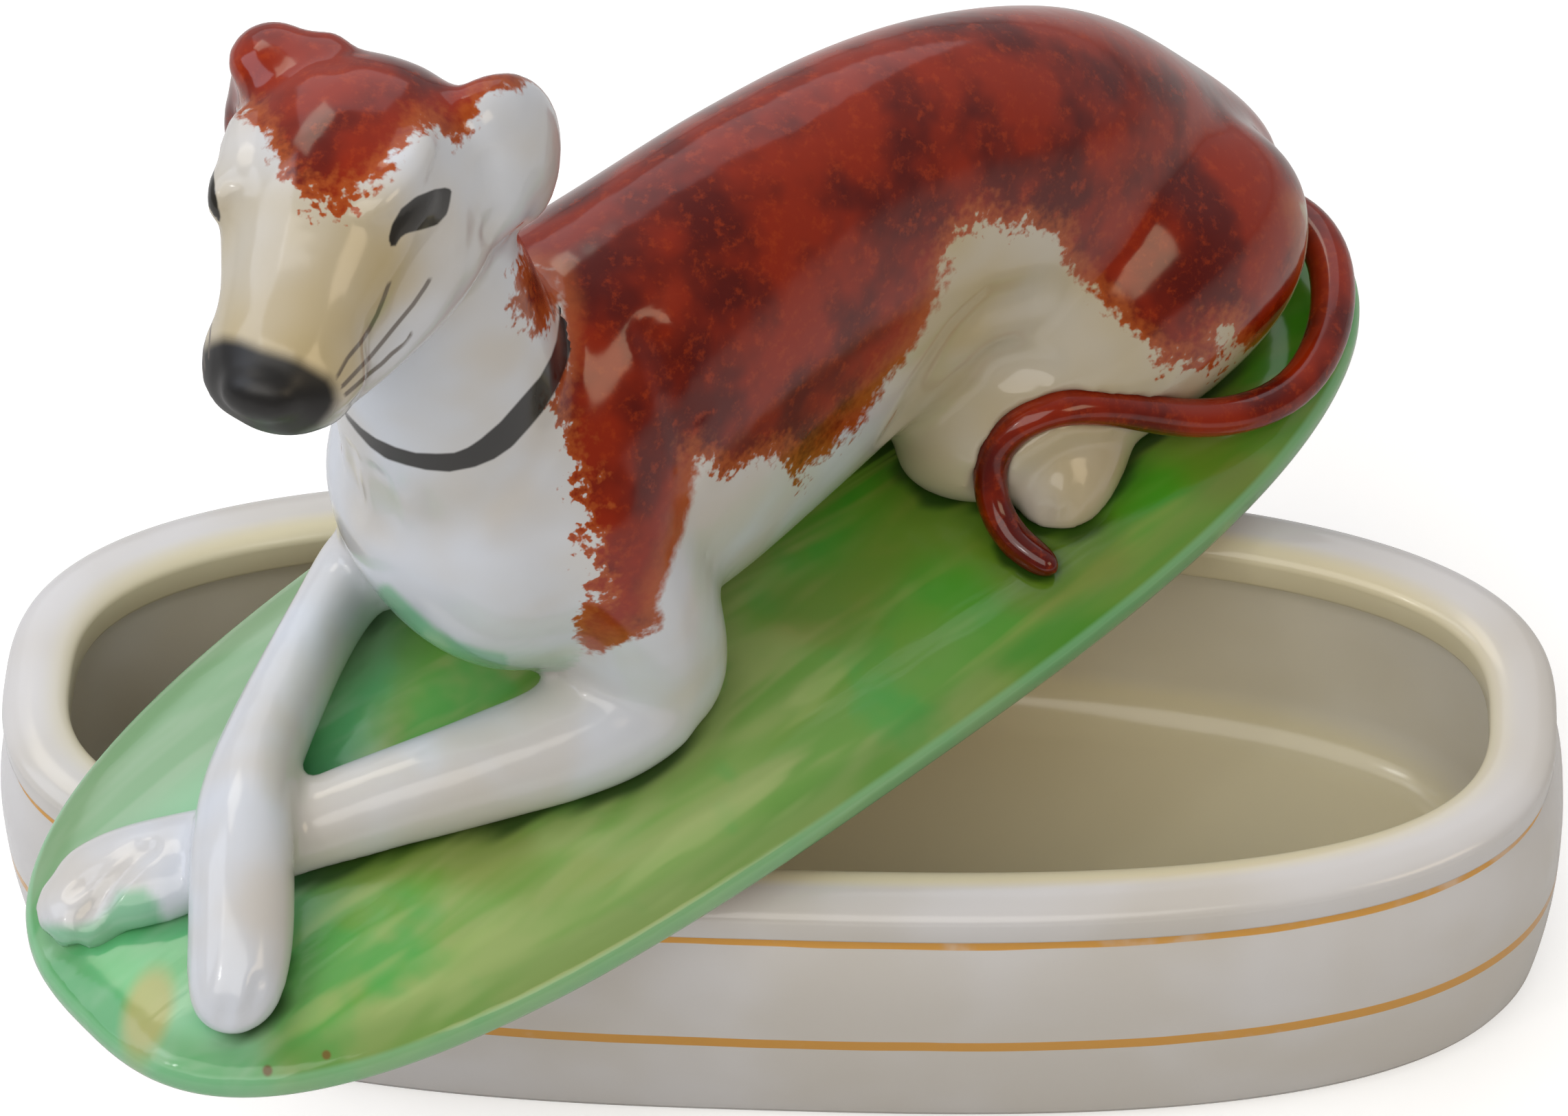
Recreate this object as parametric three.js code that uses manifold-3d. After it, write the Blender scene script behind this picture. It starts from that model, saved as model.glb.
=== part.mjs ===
// A glazed porcelain trinket box: a long oval tray, and a lid that carries a lying greyhound.
// Millimetres, +Z up. The origin is the middle of the tray's flat underside, +X runs along the
// tray. The lid is drawn as it is often shown, turned across the tray and resting on its rim.
// The lid's own frame has +X from the dog's paws to its tail and +Y to the dog's right.

import * as THREE from "three";
import { mergeVertices } from "three/addons/utils/BufferGeometryUtils.js";
import Module from "manifold-3d";

// Tray
const TRAY_LENGTH = 167;
const TRAY_WIDTH = 62.6;
const TRAY_HEIGHT = 36.7;

// The rim is a broad rounded band that stands in from the wall's belly, with a small step
// under it.
const RIM_WALL = 7;
const RIM_BAND = 5;
const RIM_INSET = 1.4;
const RIM_STEP = 0.7;
const RIM_ROUND = 1.6;

// Under the band the wall is thinner, so a ledge runs round the inside.
const LOWER_WALL = 4.5;
const LEDGE_SLOPE = 2;
const FLOOR_THICKNESS = 5;
const FLOOR_FILLET = 6;
const FOOT_INSET = 1.9;
const FOOT_CHAMFER = 1.4;

// The belly's height as a share of the tray's.
const BELLY_SHARE = 0.52;

// The exponent of the ovals: 2 is an ellipse, larger is nearer to a rectangle.
const OVAL_POWER = 2.72;

// Lid: a plate that rises from a round edge to a low mound. The mound's section is a quarter of
// an oval of this power.
const LID_OVERHANG = 0.3;
const PLATE_EDGE = 2.4;
const UNDERCUT = 2.6;
const MOUND_HEIGHT = 5;
const MOUND_TOP_WIDTH = 4;
const MOUND_POWER = 2.4;

// The ring under the plate keeps the closed lid in the tray's mouth.
const RING_DEPTH = 3;
const RING_WALL = 4;
const RING_PLAY = 0.8;
const RING_CHAMFER = 0.8;

// Where the lid lies across the tray, and how far it is turned.
const LID_TURN = 43.6;
const LID_SHIFT_X = -7;
const LID_SHIFT_Y = 7.8;

// Fired parts are luted together with slip: this is the seam left between two of them.
const SEAM = 0.3;

// The stations of the figure are in figure units: this many of them make the lid's length, so
// the figure follows the lid. Its height 0 lies this far under the top of the mound.
const FIGURE_UNITS = 167.6;
const FIGURE_SINK = 5;

// The dog's length runs along this line, to the right of the lid's middle.
const FIGURE_MIDDLE = 3;

// Mesh fineness
const OVAL_SIDES = 72;
const ROUND_STEPS = 5;
const MOUND_STEPS = 11;
const WALL_STEPS = 5;
const LIMB_STEP = 4;
const LIMB_LEAST_STEPS = 8;
const LIMB_TIP = 0.02;

const LID_LENGTH = TRAY_LENGTH + 2 * LID_OVERHANG;
const LID_WIDTH = TRAY_WIDTH + 2 * LID_OVERHANG;
const MOUTH_INSET = RIM_INSET + RIM_WALL;
const PLATE_MIDDLE = RING_DEPTH + PLATE_EDGE;
const FIGURE_SCALE = LID_LENGTH / FIGURE_UNITS;
const FIGURE_BASE = PLATE_MIDDLE + MOUND_HEIGHT - FIGURE_SINK;

const wasm = await Module();
wasm.setup();

const finish = (color, roughness) => () =>
  new THREE.MeshStandardMaterial({ color, roughness, metalness: 0 });
const whiteGlaze = finish(0xdcd8d2, 0.14);
const russetGlaze = finish(0x8e3a20, 0.12);
const greenGlaze = finish(0x5c9e38, 0.15);

// One point of an oval with the given half axes, at an angle from its long axis.
function ovalPoint(halfLength, halfWidth, angle) {
  const c = Math.cos(angle);
  const s = Math.sin(angle);
  const power = 2 / OVAL_POWER;
  const x = Math.sign(c) * Math.abs(c) ** power * halfLength;
  const y = Math.sign(s) * Math.abs(s) ** power * halfWidth;
  return new THREE.Vector2(x, y);
}

// A closed skin over rings of equal point counts. Each end is closed by a fan to its middle,
// or, where the rings go round a hollow, the last ring joins the first.
function skinOf(rings, endsMeet = false) {
  const count = rings[0].length;
  const points = rings.flat();
  const index = [];
  const loops = endsMeet ? rings.length : rings.length - 1;
  for (let r = 0; r < loops; r++) {
    const near = r * count;
    const far = ((r + 1) % rings.length) * count;
    for (let i = 0; i < count; i++) {
      const j = (i + 1) % count;
      index.push(near + i, near + j, far + j);
      index.push(near + i, far + j, far + i);
    }
  }
  if (!endsMeet) {
    for (const [first, turned] of [[0, true], [rings.length - 1, false]]) {
      const ring = rings[first];
      const middle = ring.reduce((sum, p) => sum.add(p), new THREE.Vector3()).divideScalar(count);
      const hub = points.push(middle) - 1;
      for (let i = 0; i < count; i++) {
        const a = first * count + i;
        const b = first * count + ((i + 1) % count);
        index.push(hub, turned ? b : a, turned ? a : b);
      }
    }
  }
  const geometry = new THREE.BufferGeometry().setFromPoints(points);
  geometry.setIndex(index);
  return geometry;
}

// A stack of level ovals, each given as its inset from the full outline and its height.
function ovalStack(length, width, levels, endsMeet = false) {
  const rings = levels.map(([inset, height]) => {
    const ring = [];
    for (let i = 0; i < OVAL_SIDES; i++) {
      const angle = ((i + 0.5) / OVAL_SIDES) * 2 * Math.PI;
      const p = ovalPoint(length / 2 - inset, width / 2 - inset, angle);
      ring.push(new THREE.Vector3(p.x, p.y, height));
    }
    return ring;
  });
  return skinOf(rings, endsMeet);
}

// Points along a quarter of an oval, from its side to its top. Its power is 2 for an ellipse.
function quarterRound(run, rise, place, steps = ROUND_STEPS, power = 2) {
  const levels = [];
  for (let i = 0; i <= steps; i++) {
    const left = Math.cos((i / steps) * (Math.PI / 2));
    levels.push(place(run * (1 - left), rise * (1 - left ** power) ** (1 / power)));
  }
  return levels;
}

function toSolid(geometry) {
  const bare = geometry.clone();
  bare.deleteAttribute("normal");
  bare.deleteAttribute("uv");
  const merged = mergeVertices(bare, 1e-4);
  const vertProperties = new Float32Array(merged.getAttribute("position").array);
  const triVerts = new Uint32Array(merged.getIndex().array);
  return new wasm.Manifold(new wasm.Mesh({ numProp: 3, vertProperties, triVerts }));
}

function toGeometry(solid) {
  const mesh = solid.getMesh();
  const geometry = new THREE.BufferGeometry();
  geometry.setAttribute("position", new THREE.BufferAttribute(mesh.vertProperties, 3));
  geometry.setIndex(new THREE.BufferAttribute(mesh.triVerts, 1));
  geometry.computeVertexNormals();
  return geometry;
}

// A rounded limb along a smooth line. A station is [x, y, z, half width, half height] in figure
// units. A blunter end keeps the limb's full thickness nearer to its tips.
function limb({ stations, sides = 16, bluntness = 6, level = [0, 0, 1] }, grow = 0) {
  const scaled = stations.map((station) => station.map((value) => value * FIGURE_SCALE));
  const curve = new THREE.CatmullRomCurve3(
    scaled.map(([x, y, z]) => new THREE.Vector3(x, y, z)), false, "centripetal");
  const girth = new THREE.CatmullRomCurve3(
    scaled.map(([, , , width, height]) => new THREE.Vector3(width, height, 0)), false, "centripetal");
  const upright = new THREE.Vector3(...level);
  const length = curve.getLength();
  const steps = Math.max(LIMB_LEAST_STEPS, Math.round(length / LIMB_STEP));
  const rings = [];
  for (let i = 0; i <= steps; i++) {
    // Stations crowd toward both ends, where the limb rounds off.
    const t = (1 - Math.cos((Math.PI * i) / steps)) / 2;
    const { x: width, y: height } = girth.getPoint(t);
    const roundness = Math.sqrt(Math.max(LIMB_TIP ** 2, 1 - Math.abs(2 * t - 1) ** bluntness));
    const centre = curve.getPoint(t);
    const along = curve.getTangent(t);
    centre.addScaledVector(along, grow * (2 * t - 1));
    const side = new THREE.Vector3().crossVectors(upright, along).normalize();
    const lift = new THREE.Vector3().crossVectors(along, side);
    const ring = [];
    for (let k = 0; k < sides; k++) {
      const angle = (k / sides) * 2 * Math.PI;
      const point = centre.clone();
      point.addScaledVector(side, Math.cos(angle) * (width * roundness + grow));
      point.addScaledVector(lift, Math.sin(angle) * (height * roundness + grow));
      ring.push(point);
    }
    rings.push(ring);
  }
  return toSolid(skinOf(rings));
}

// The tray's wall swells from its foot to the belly and draws in again to the step under the
// rim. This is its inset from the full outline at a height.
function wallInset(height) {
  const belly = TRAY_HEIGHT * BELLY_SHARE;
  if (height < belly) {
    return FOOT_INSET * (1 - height / belly) ** 2;
  }
  const step = TRAY_HEIGHT - RIM_BAND;
  return (RIM_INSET + RIM_STEP) * ((height - belly) / (step - belly)) ** 3;
}

// The tray's section, as insets and heights: up the outside, over the rim and down the inside.
function traySolid() {
  const step = TRAY_HEIGHT - RIM_BAND;
  const outside = [[wallInset(0) + FOOT_CHAMFER, 0]];
  for (let i = 0; i <= WALL_STEPS; i++) {
    const height = THREE.MathUtils.lerp(FOOT_CHAMFER, step, i / WALL_STEPS);
    outside.push([wallInset(height), height]);
  }
  const base = TRAY_HEIGHT - RIM_ROUND;
  const rimOut = quarterRound(RIM_WALL / 2, RIM_ROUND, (x, z) => [RIM_INSET + x, base + z]);
  const rimIn = quarterRound(RIM_WALL / 2, RIM_ROUND, (x, z) => [MOUTH_INSET - x, base + z]);
  const inner = RIM_INSET + LOWER_WALL;
  const ledge = [
    [MOUTH_INSET, step],
    [inner, step - LEDGE_SLOPE],
  ];
  const fillet = quarterRound(FLOOR_FILLET, FLOOR_FILLET,
    (x, z) => [inner + x, FLOOR_THICKNESS + FLOOR_FILLET - z]);
  const section = [
    ...outside,
    [RIM_INSET, step + RIM_STEP],
    ...rimOut,
    ...rimIn.reverse().slice(1),
    ...ledge,
    ...fillet,
  ];
  return ovalStack(TRAY_LENGTH, TRAY_WIDTH, section);
}

// The lid's plate in the lid's own frame, where the ring's lower face is at height 0.
function plateSolid(grow = 0) {
  const moundRun = (LID_WIDTH - MOUND_TOP_WIDTH) / 2;
  const mound = quarterRound(moundRun, MOUND_HEIGHT,
    (x, z) => [x - grow, PLATE_MIDDLE + z + grow], MOUND_STEPS, MOUND_POWER);
  const levels = [
    [UNDERCUT - grow, RING_DEPTH - grow],
    [UNDERCUT / 4 - grow, RING_DEPTH + PLATE_EDGE / 4],
    [-grow, RING_DEPTH + PLATE_EDGE * 3 / 4],
    ...mound,
  ];
  return toSolid(ovalStack(LID_LENGTH, LID_WIDTH, levels));
}

// The ring reaches a little way up into the plate, which it is one piece with.
function ringSolid() {
  const outer = LID_OVERHANG + MOUTH_INSET + RING_PLAY;
  const inner = outer + RING_WALL;
  const top = RING_DEPTH + PLATE_EDGE / 2;
  const levels = [
    [outer + RING_CHAMFER, 0],
    [outer, RING_CHAMFER],
    [outer, top],
    [inner, top],
    [inner, RING_CHAMFER],
    [inner - RING_CHAMFER, 0],
  ];
  return toSolid(ovalStack(LID_LENGTH, LID_WIDTH, levels, true));
}

// The stations run from the chest to the rump.
const TORSO = {
  stations: [
    [-41, 3, 40.5, 12, 11],
    [-34, 3, 39, 16, 17.5],
    [-22, 3, 36, 17.5, 25.5],
    [-8, 3, 34, 17, 28],
    [8, 3.5, 34.5, 15.5, 28],
    [26, 4, 34, 14.5, 25.5],
    [44, 3, 27, 16, 23],
    [62, 3, 17, 16.5, 17.5],
    [80, 2, 9, 13, 11.5],
  ],
  sides: 28,
  bluntness: 6,
};

// The stations run up from inside the chest to inside the head.
const NECK = {
  stations: [
    [-24, 3, 38, 12, 15],
    [-28, 3, 48, 12, 13],
    [-29.5, 3, 58, 11.5, 11.5],
    [-31, 4, 70, 10.5, 10.5],
    [-34, 6, 84, 9, 9],
  ],
  level: [1, 0, 0],
  sides: 20,
  bluntness: 10,
};

// The head's own frame has +X to the nose and its origin between the eyes. The dog looks round
// to its left.
const HEAD_PLACE = new THREE.Vector3(-43.5, 0.5, 88.5);
const HEAD_TURN = 212.5;
const HEAD_NOD = 3.5;
const HEAD_TILT = 4.4;
const HEAD = {
  stations: [
    [-19, 0, 2, 11.5, 8.5],
    [-12, 0, 0.9, 12.6, 12],
    [-3, 0, 0, 11.6, 12.8],
    [4, 0, -0.8, 9.7, 10.7],
    [10, 0, -1.8, 7.8, 8.5],
    [15, 0, -2, 7.4, 7.3],
    [20.8, 0, -2.4, 7.3, 6.6],
  ],
  sides: 24,
  bluntness: 8,
};
const cheekStations = (side) => [
  [-16, side * 8.5, -5, 4.5, 7],
  [-8, side * 7.5, -6.5, 5.5, 7],
  [2, side * 5.5, -6.5, 5, 5.6],
  [11, side * 3.8, -5, 3.8, 4],
  [17, side * 3, -4, 3, 3],
];

// A soft ear folds back and down from the crown, and its spread is how far it stands out.
// The side is 1 for the dog's left. The right ear lies nearer to the skull, and higher.
const earStations = ({ side, spread, rise }) => [
  [-10.5, side * spread * 0.6, 5.5 + rise, 4.5, 3.2],
  [-14, side * spread * 0.9, 3 + rise, 5.5, 3.2],
  [-17, side * spread, -3 + rise, 5.5, 2.8],
  [-17.5, side * spread * 0.91, -10 + rise, 4.5, 2.6],
  [-16.5, side * spread * 0.8, -15 + rise, 3, 2.2],
];
const LEFT_EAR = { side: 1, spread: 14, rise: 0 };
const RIGHT_EAR = { side: -1, spread: 12.3, rise: 1.6 };
const EAR = { sides: 14, bluntness: 5, level: [0, 1, 0] };

// The near foreleg, the dog's left, passes under the other where they cross.
const LEFT_FORELEG = {
  upper: [
    [-25, -6, 50, 6, 7],
    [-22, -8.5, 38, 8.5, 8.5],
    [-18, -9.5, 24, 9, 8.5],
    [-16.5, -9.5, 11, 8.5, 8.5],
    [-16.5, -9.5, 4, 7.5, 7.5],
  ],
  fore: [
    [-14, -9.5, 8.5, 7, 7],
    [-20, -12, 9.6, 7, 7],
    [-31, -9.8, 9.2, 6, 6],
    [-44, -4.4, 8, 5, 5.2],
    [-57, 0.8, 6.6, 4.6, 4.8],
    [-68, 5.6, 6.2, 6, 4.2],
    [-74.5, 9, 5, 6.3, 3.4],
    [-78.4, 8.8, 4, 4.2, 2.5],
  ],
};
const RIGHT_FORELEG = {
  upper: [
    [-26, 12, 42, 7, 8],
    [-25.5, 16, 28, 7, 8],
    [-26, 18.5, 14, 6.5, 7],
    [-26.5, 19.5, 6, 6, 6.5],
  ],
  fore: [
    [-24, 21.5, 10, 5.5, 6.5],
    [-30, 21, 10, 4.6, 6],
    [-37.7, 17.6, 10, 3.5, 5.6],
    [-45.5, 13, 10.3, 3.9, 5.6],
    [-53.9, 7.6, 11.2, 4.2, 5.6],
    [-61.4, 0.8, 12.8, 5.1, 5.4],
    [-68, -7.5, 9, 5.5, 4.8],
    [-73.3, -12.2, 6, 5, 4],
    [-75.2, -14.3, 5, 3.8, 3],
  ],
};

// A thigh folded along the belly, and the foot in front of it.
const thighStations = (side, middle) => [
  [73.5, middle + side * 6, 12, 9, 10],
  [65, middle + side * 10, 15.5, 12, 15],
  [52, middle + side * 12, 17, 12, 16],
  [40, middle + side * 11, 13, 11, 13],
  [29, middle + side * 9, 9, 10, 9],
  [23, middle + side * 8, 6, 8, 6],
];
const footStations = (side, middle) => [
  [44, middle + side * 14, 7, 6, 6],
  [37, middle + side * 18, 7, 6, 6],
  [29.5, middle + side * 22.5, 5, 5, 4],
];

// The tail lies round the left haunch and across the hind paw.
const TAIL = {
  stations: [
    [76, -2, 9, 2.4, 2.6],
    [76.6, -12, 9, 2.3, 2.4],
    [69.6, -20.8, 8, 2.2, 2.2],
    [60, -24.6, 7, 2, 2],
    [50, -22, 8.5, 1.9, 1.9],
    [41, -18.8, 15, 1.8, 1.8],
    [33, -15.2, 18, 1.8, 1.8],
    [28.2, -13, 13.5, 1.7, 1.7],
    [26.2, -14.6, 9, 1.6, 1.6],
    [25.6, -18.2, 6, 1.6, 1.6],
    [26.4, -24.4, 5, 1.5, 1.5],
  ],
  sides: 12,
  bluntness: 30,
};

// A foreleg is bent at the elbow: an upper arm and a forearm with its paw.
function foreleg({ upper, fore }, grow = 0) {
  return limb({ stations: upper, level: [1, 0, 0] }, grow).add(limb({ stations: fore }, grow));
}

// The head is a long skull with a full cheek on each side of the jaw.
function headSolid(grow = 0) {
  const cheeks = [1, -1].map((side) => limb({ stations: cheekStations(side) }, grow));
  return limb(HEAD, grow).add(cheeks[0]).add(cheeks[1]);
}

function named(name, geometry, material) {
  const mesh = new THREE.Mesh(geometry, material());
  mesh.name = name;
  return mesh;
}

// A solid moved and turned into another group's frame.
function placed(solid, matrix) {
  return toSolid(toGeometry(solid).applyMatrix4(matrix));
}

const object = new THREE.Group();
object.add(named("tray_body", traySolid(), whiteGlaze));

const lid = new THREE.Group();
lid.position.set(LID_SHIFT_X, LID_SHIFT_Y, TRAY_HEIGHT + SEAM);
lid.rotation.z = THREE.MathUtils.degToRad(LID_TURN);
object.add(lid);
const plate = plateSolid().add(ringSolid());
lid.add(named("lid_plate", toGeometry(plate), greenGlaze));

const figure = new THREE.Group();
figure.position.z = FIGURE_BASE;
lid.add(figure);

// Each part of the figure ends one seam short of the parts that it is luted to. These are the
// seats of those parts: their own shapes, one seam larger.
const bed = placed(plateSolid(SEAM), new THREE.Matrix4().makeTranslation(0, 0, -FIGURE_BASE));
const torsoSeat = limb(TORSO, SEAM);
const neckSeat = limb(NECK, SEAM);
const headSeat = headSolid(SEAM);
const rightForelegSeat = foreleg(RIGHT_FORELEG, SEAM);
const tailSeat = limb(TAIL, SEAM);

figure.add(named("dog_torso", toGeometry(limb(TORSO).subtract(bed)), russetGlaze));

const headFrame = new THREE.Group();
headFrame.position.copy(HEAD_PLACE).multiplyScalar(FIGURE_SCALE);
headFrame.rotation.set(...[HEAD_TILT, HEAD_NOD, HEAD_TURN].map(THREE.MathUtils.degToRad), "ZYX");
headFrame.updateMatrix();
figure.add(headFrame);
headFrame.add(named("dog_head", toGeometry(headSolid()), whiteGlaze));

const neck = limb(NECK).subtract(torsoSeat).subtract(placed(headSeat, headFrame.matrix));
figure.add(named("dog_neck", toGeometry(neck), whiteGlaze));

const neckSeatByHead = placed(neckSeat, headFrame.matrix.clone().invert());
for (const [name, lie] of [["ear_left", LEFT_EAR], ["ear_right", RIGHT_EAR]]) {
  const whole = limb({ ...EAR, stations: earStations(lie) });
  const ear = whole.subtract(headSeat).subtract(neckSeatByHead);
  headFrame.add(named(name, toGeometry(ear), russetGlaze));
}

const lutedToChest = (solid) => solid.subtract(torsoSeat).subtract(bed).subtract(neckSeat);
const rightForeleg = lutedToChest(foreleg(RIGHT_FORELEG));
const leftForeleg = lutedToChest(foreleg(LEFT_FORELEG)).subtract(rightForelegSeat);
figure.add(named("foreleg_right", toGeometry(rightForeleg), whiteGlaze));
figure.add(named("foreleg_left", toGeometry(leftForeleg), whiteGlaze));

for (const [name, side] of [["hind_leg_left", -1], ["hind_leg_right", 1]]) {
  const thigh = { stations: thighStations(side, FIGURE_MIDDLE), sides: 24, bluntness: 4 };
  const foot = { stations: footStations(side, FIGURE_MIDDLE), bluntness: 4 };
  const leg = limb(thigh).add(limb(foot)).subtract(torsoSeat).subtract(bed).subtract(tailSeat);
  figure.add(named(name, toGeometry(leg), whiteGlaze));
}

const tail = limb(TAIL).subtract(torsoSeat).subtract(bed);
figure.add(named("tail", toGeometry(tail), russetGlaze));

export default object;
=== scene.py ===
"""A glazed porcelain trinket box: a long oval tray, and a lid that carries a lying greyhound."""
import math

import bpy
import numpy as np
from mathutils import Matrix, Vector
from mathutils.bvhtree import BVHTree


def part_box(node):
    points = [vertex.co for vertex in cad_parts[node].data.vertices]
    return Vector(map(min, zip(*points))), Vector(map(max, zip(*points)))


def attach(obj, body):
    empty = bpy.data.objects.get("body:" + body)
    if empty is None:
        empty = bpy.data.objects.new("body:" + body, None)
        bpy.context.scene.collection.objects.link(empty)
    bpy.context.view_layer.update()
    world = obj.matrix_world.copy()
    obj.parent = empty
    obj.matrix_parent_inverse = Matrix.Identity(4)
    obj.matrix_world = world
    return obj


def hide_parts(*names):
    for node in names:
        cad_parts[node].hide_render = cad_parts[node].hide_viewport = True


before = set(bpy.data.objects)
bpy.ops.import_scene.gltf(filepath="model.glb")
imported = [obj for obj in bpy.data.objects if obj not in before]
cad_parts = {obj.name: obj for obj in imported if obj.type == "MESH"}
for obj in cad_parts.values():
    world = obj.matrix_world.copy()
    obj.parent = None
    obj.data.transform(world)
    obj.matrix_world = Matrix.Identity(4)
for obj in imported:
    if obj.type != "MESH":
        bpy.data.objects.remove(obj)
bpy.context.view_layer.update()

MM = 0.001

# The tray, in metres.
TRAY_LOW, TRAY_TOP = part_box("tray_body")
HALF_LENGTH = (TRAY_TOP.x - TRAY_LOW.x) / 2
HALF_WIDTH = (TRAY_TOP.y - TRAY_LOW.y) / 2
TRAY_HEIGHT = TRAY_TOP.z
OVAL_POWER = 2.72
RIM_WALL = 7 * MM
RIM_BAND = 5 * MM
RIM_INSET = 1.4 * MM
RIM_STEP = 0.7 * MM
RIM_ROUND = 1.6 * MM
LOWER_WALL = 4.5 * MM
LEDGE_SLOPE = 2 * MM
FLOOR = 5 * MM
FLOOR_FILLET = 6 * MM
FOOT_INSET = 1.9 * MM
FOOT_CHAMFER = 1.4 * MM
BELLY_SHARE = 0.52
EASING = 0.3 * MM

# The lid's plate. Its heights are measured from the ring's lower face.
PLATE_LOW, PLATE_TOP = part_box("lid_plate")
LID_CENTRE = (PLATE_LOW + PLATE_TOP) / 2
LID_TURN = math.radians(43.6)
LID_OVERHANG = 0.3 * MM
RING_DEPTH = 3 * MM
RING_WALL = 4 * MM
RING_PLAY = 0.8 * MM
RING_CHAMFER = 0.8 * MM
PLATE_EDGE = 2.4 * MM
UNDERCUT = 2.6 * MM
MOUND_HEIGHT = 5 * MM
MOUND_TOP_WIDTH = 4 * MM
MOUND_POWER = 2.4
GLAZE_REACH = 1.7 * MM
# how far from the dog distances are measured for the green glaze's painted contact shade, and how
# much narrower that shade is round the tail
CONTACT_SHADE_REACH = 14 * MM
TAIL_CONTACT_SHADE = 1.6

# The dog is shaped in millimetres in the lid's frame: +X from its paws to its tail, +Y to its
# right. The head has a frame of its own, with +X to the nose and +Y to the dog's left.
FIGURE_BASE = PLATE_LOW.z + RING_DEPTH + PLATE_EDGE
FIGURE = (Matrix.Translation((LID_CENTRE.x, LID_CENTRE.y, FIGURE_BASE))
          @ Matrix.Rotation(LID_TURN, 4, "Z") @ Matrix.Scale(MM, 4))
HEAD_PLACE = Vector((-43.5, 0.5, 88.5))
HEAD_TURN = [math.radians(angle) for angle in (4.4, 3.5, 212.5)]
HEAD = (FIGURE @ Matrix.Translation(HEAD_PLACE) @ Matrix.Rotation(HEAD_TURN[2], 4, "Z")
        @ Matrix.Rotation(HEAD_TURN[1], 4, "Y") @ Matrix.Rotation(HEAD_TURN[0], 4, "X"))
FIGURE_MIDDLE = 3.0

# How the dog's solids are melted together: each copy is swollen to close the seams, and the
# joints between them are smoothed more than the rest.
SWELL = 0.22 * MM
TAIL_SWELL = 0.3 * MM
VOXEL = 0.62 * MM
SMOOTHING = 12
JOINT_SMOOTHING = 80
JOINT_REACH = 9 * MM
SAME_POINT = 1e-6

# The camera stands as it did for the photograph.
CAMERA_TARGET = Vector((-0.59, 23.53, 29.87)) * MM
CAMERA_YAW = 0.078254
CAMERA_PITCH = 0.879045
CAMERA_ROLL = -0.034978
CAMERA_DISTANCE = 812.9 * MM
PHOTO_WIDTH = 2281
FOCAL_PIXELS = 10937.5
SENSOR = 36


def camera_axes():
    level = Vector((-math.sin(CAMERA_YAW), math.cos(CAMERA_YAW), 0))
    right = Vector((math.cos(CAMERA_YAW), math.sin(CAMERA_YAW), 0))
    ahead = level * math.cos(CAMERA_PITCH) - Vector((0, 0, math.sin(CAMERA_PITCH)))
    up = right.cross(ahead)
    rolled_right = right * math.cos(CAMERA_ROLL) + up * math.sin(CAMERA_ROLL)
    rolled_up = up * math.cos(CAMERA_ROLL) - right * math.sin(CAMERA_ROLL)
    return rolled_right, rolled_up, ahead


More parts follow.
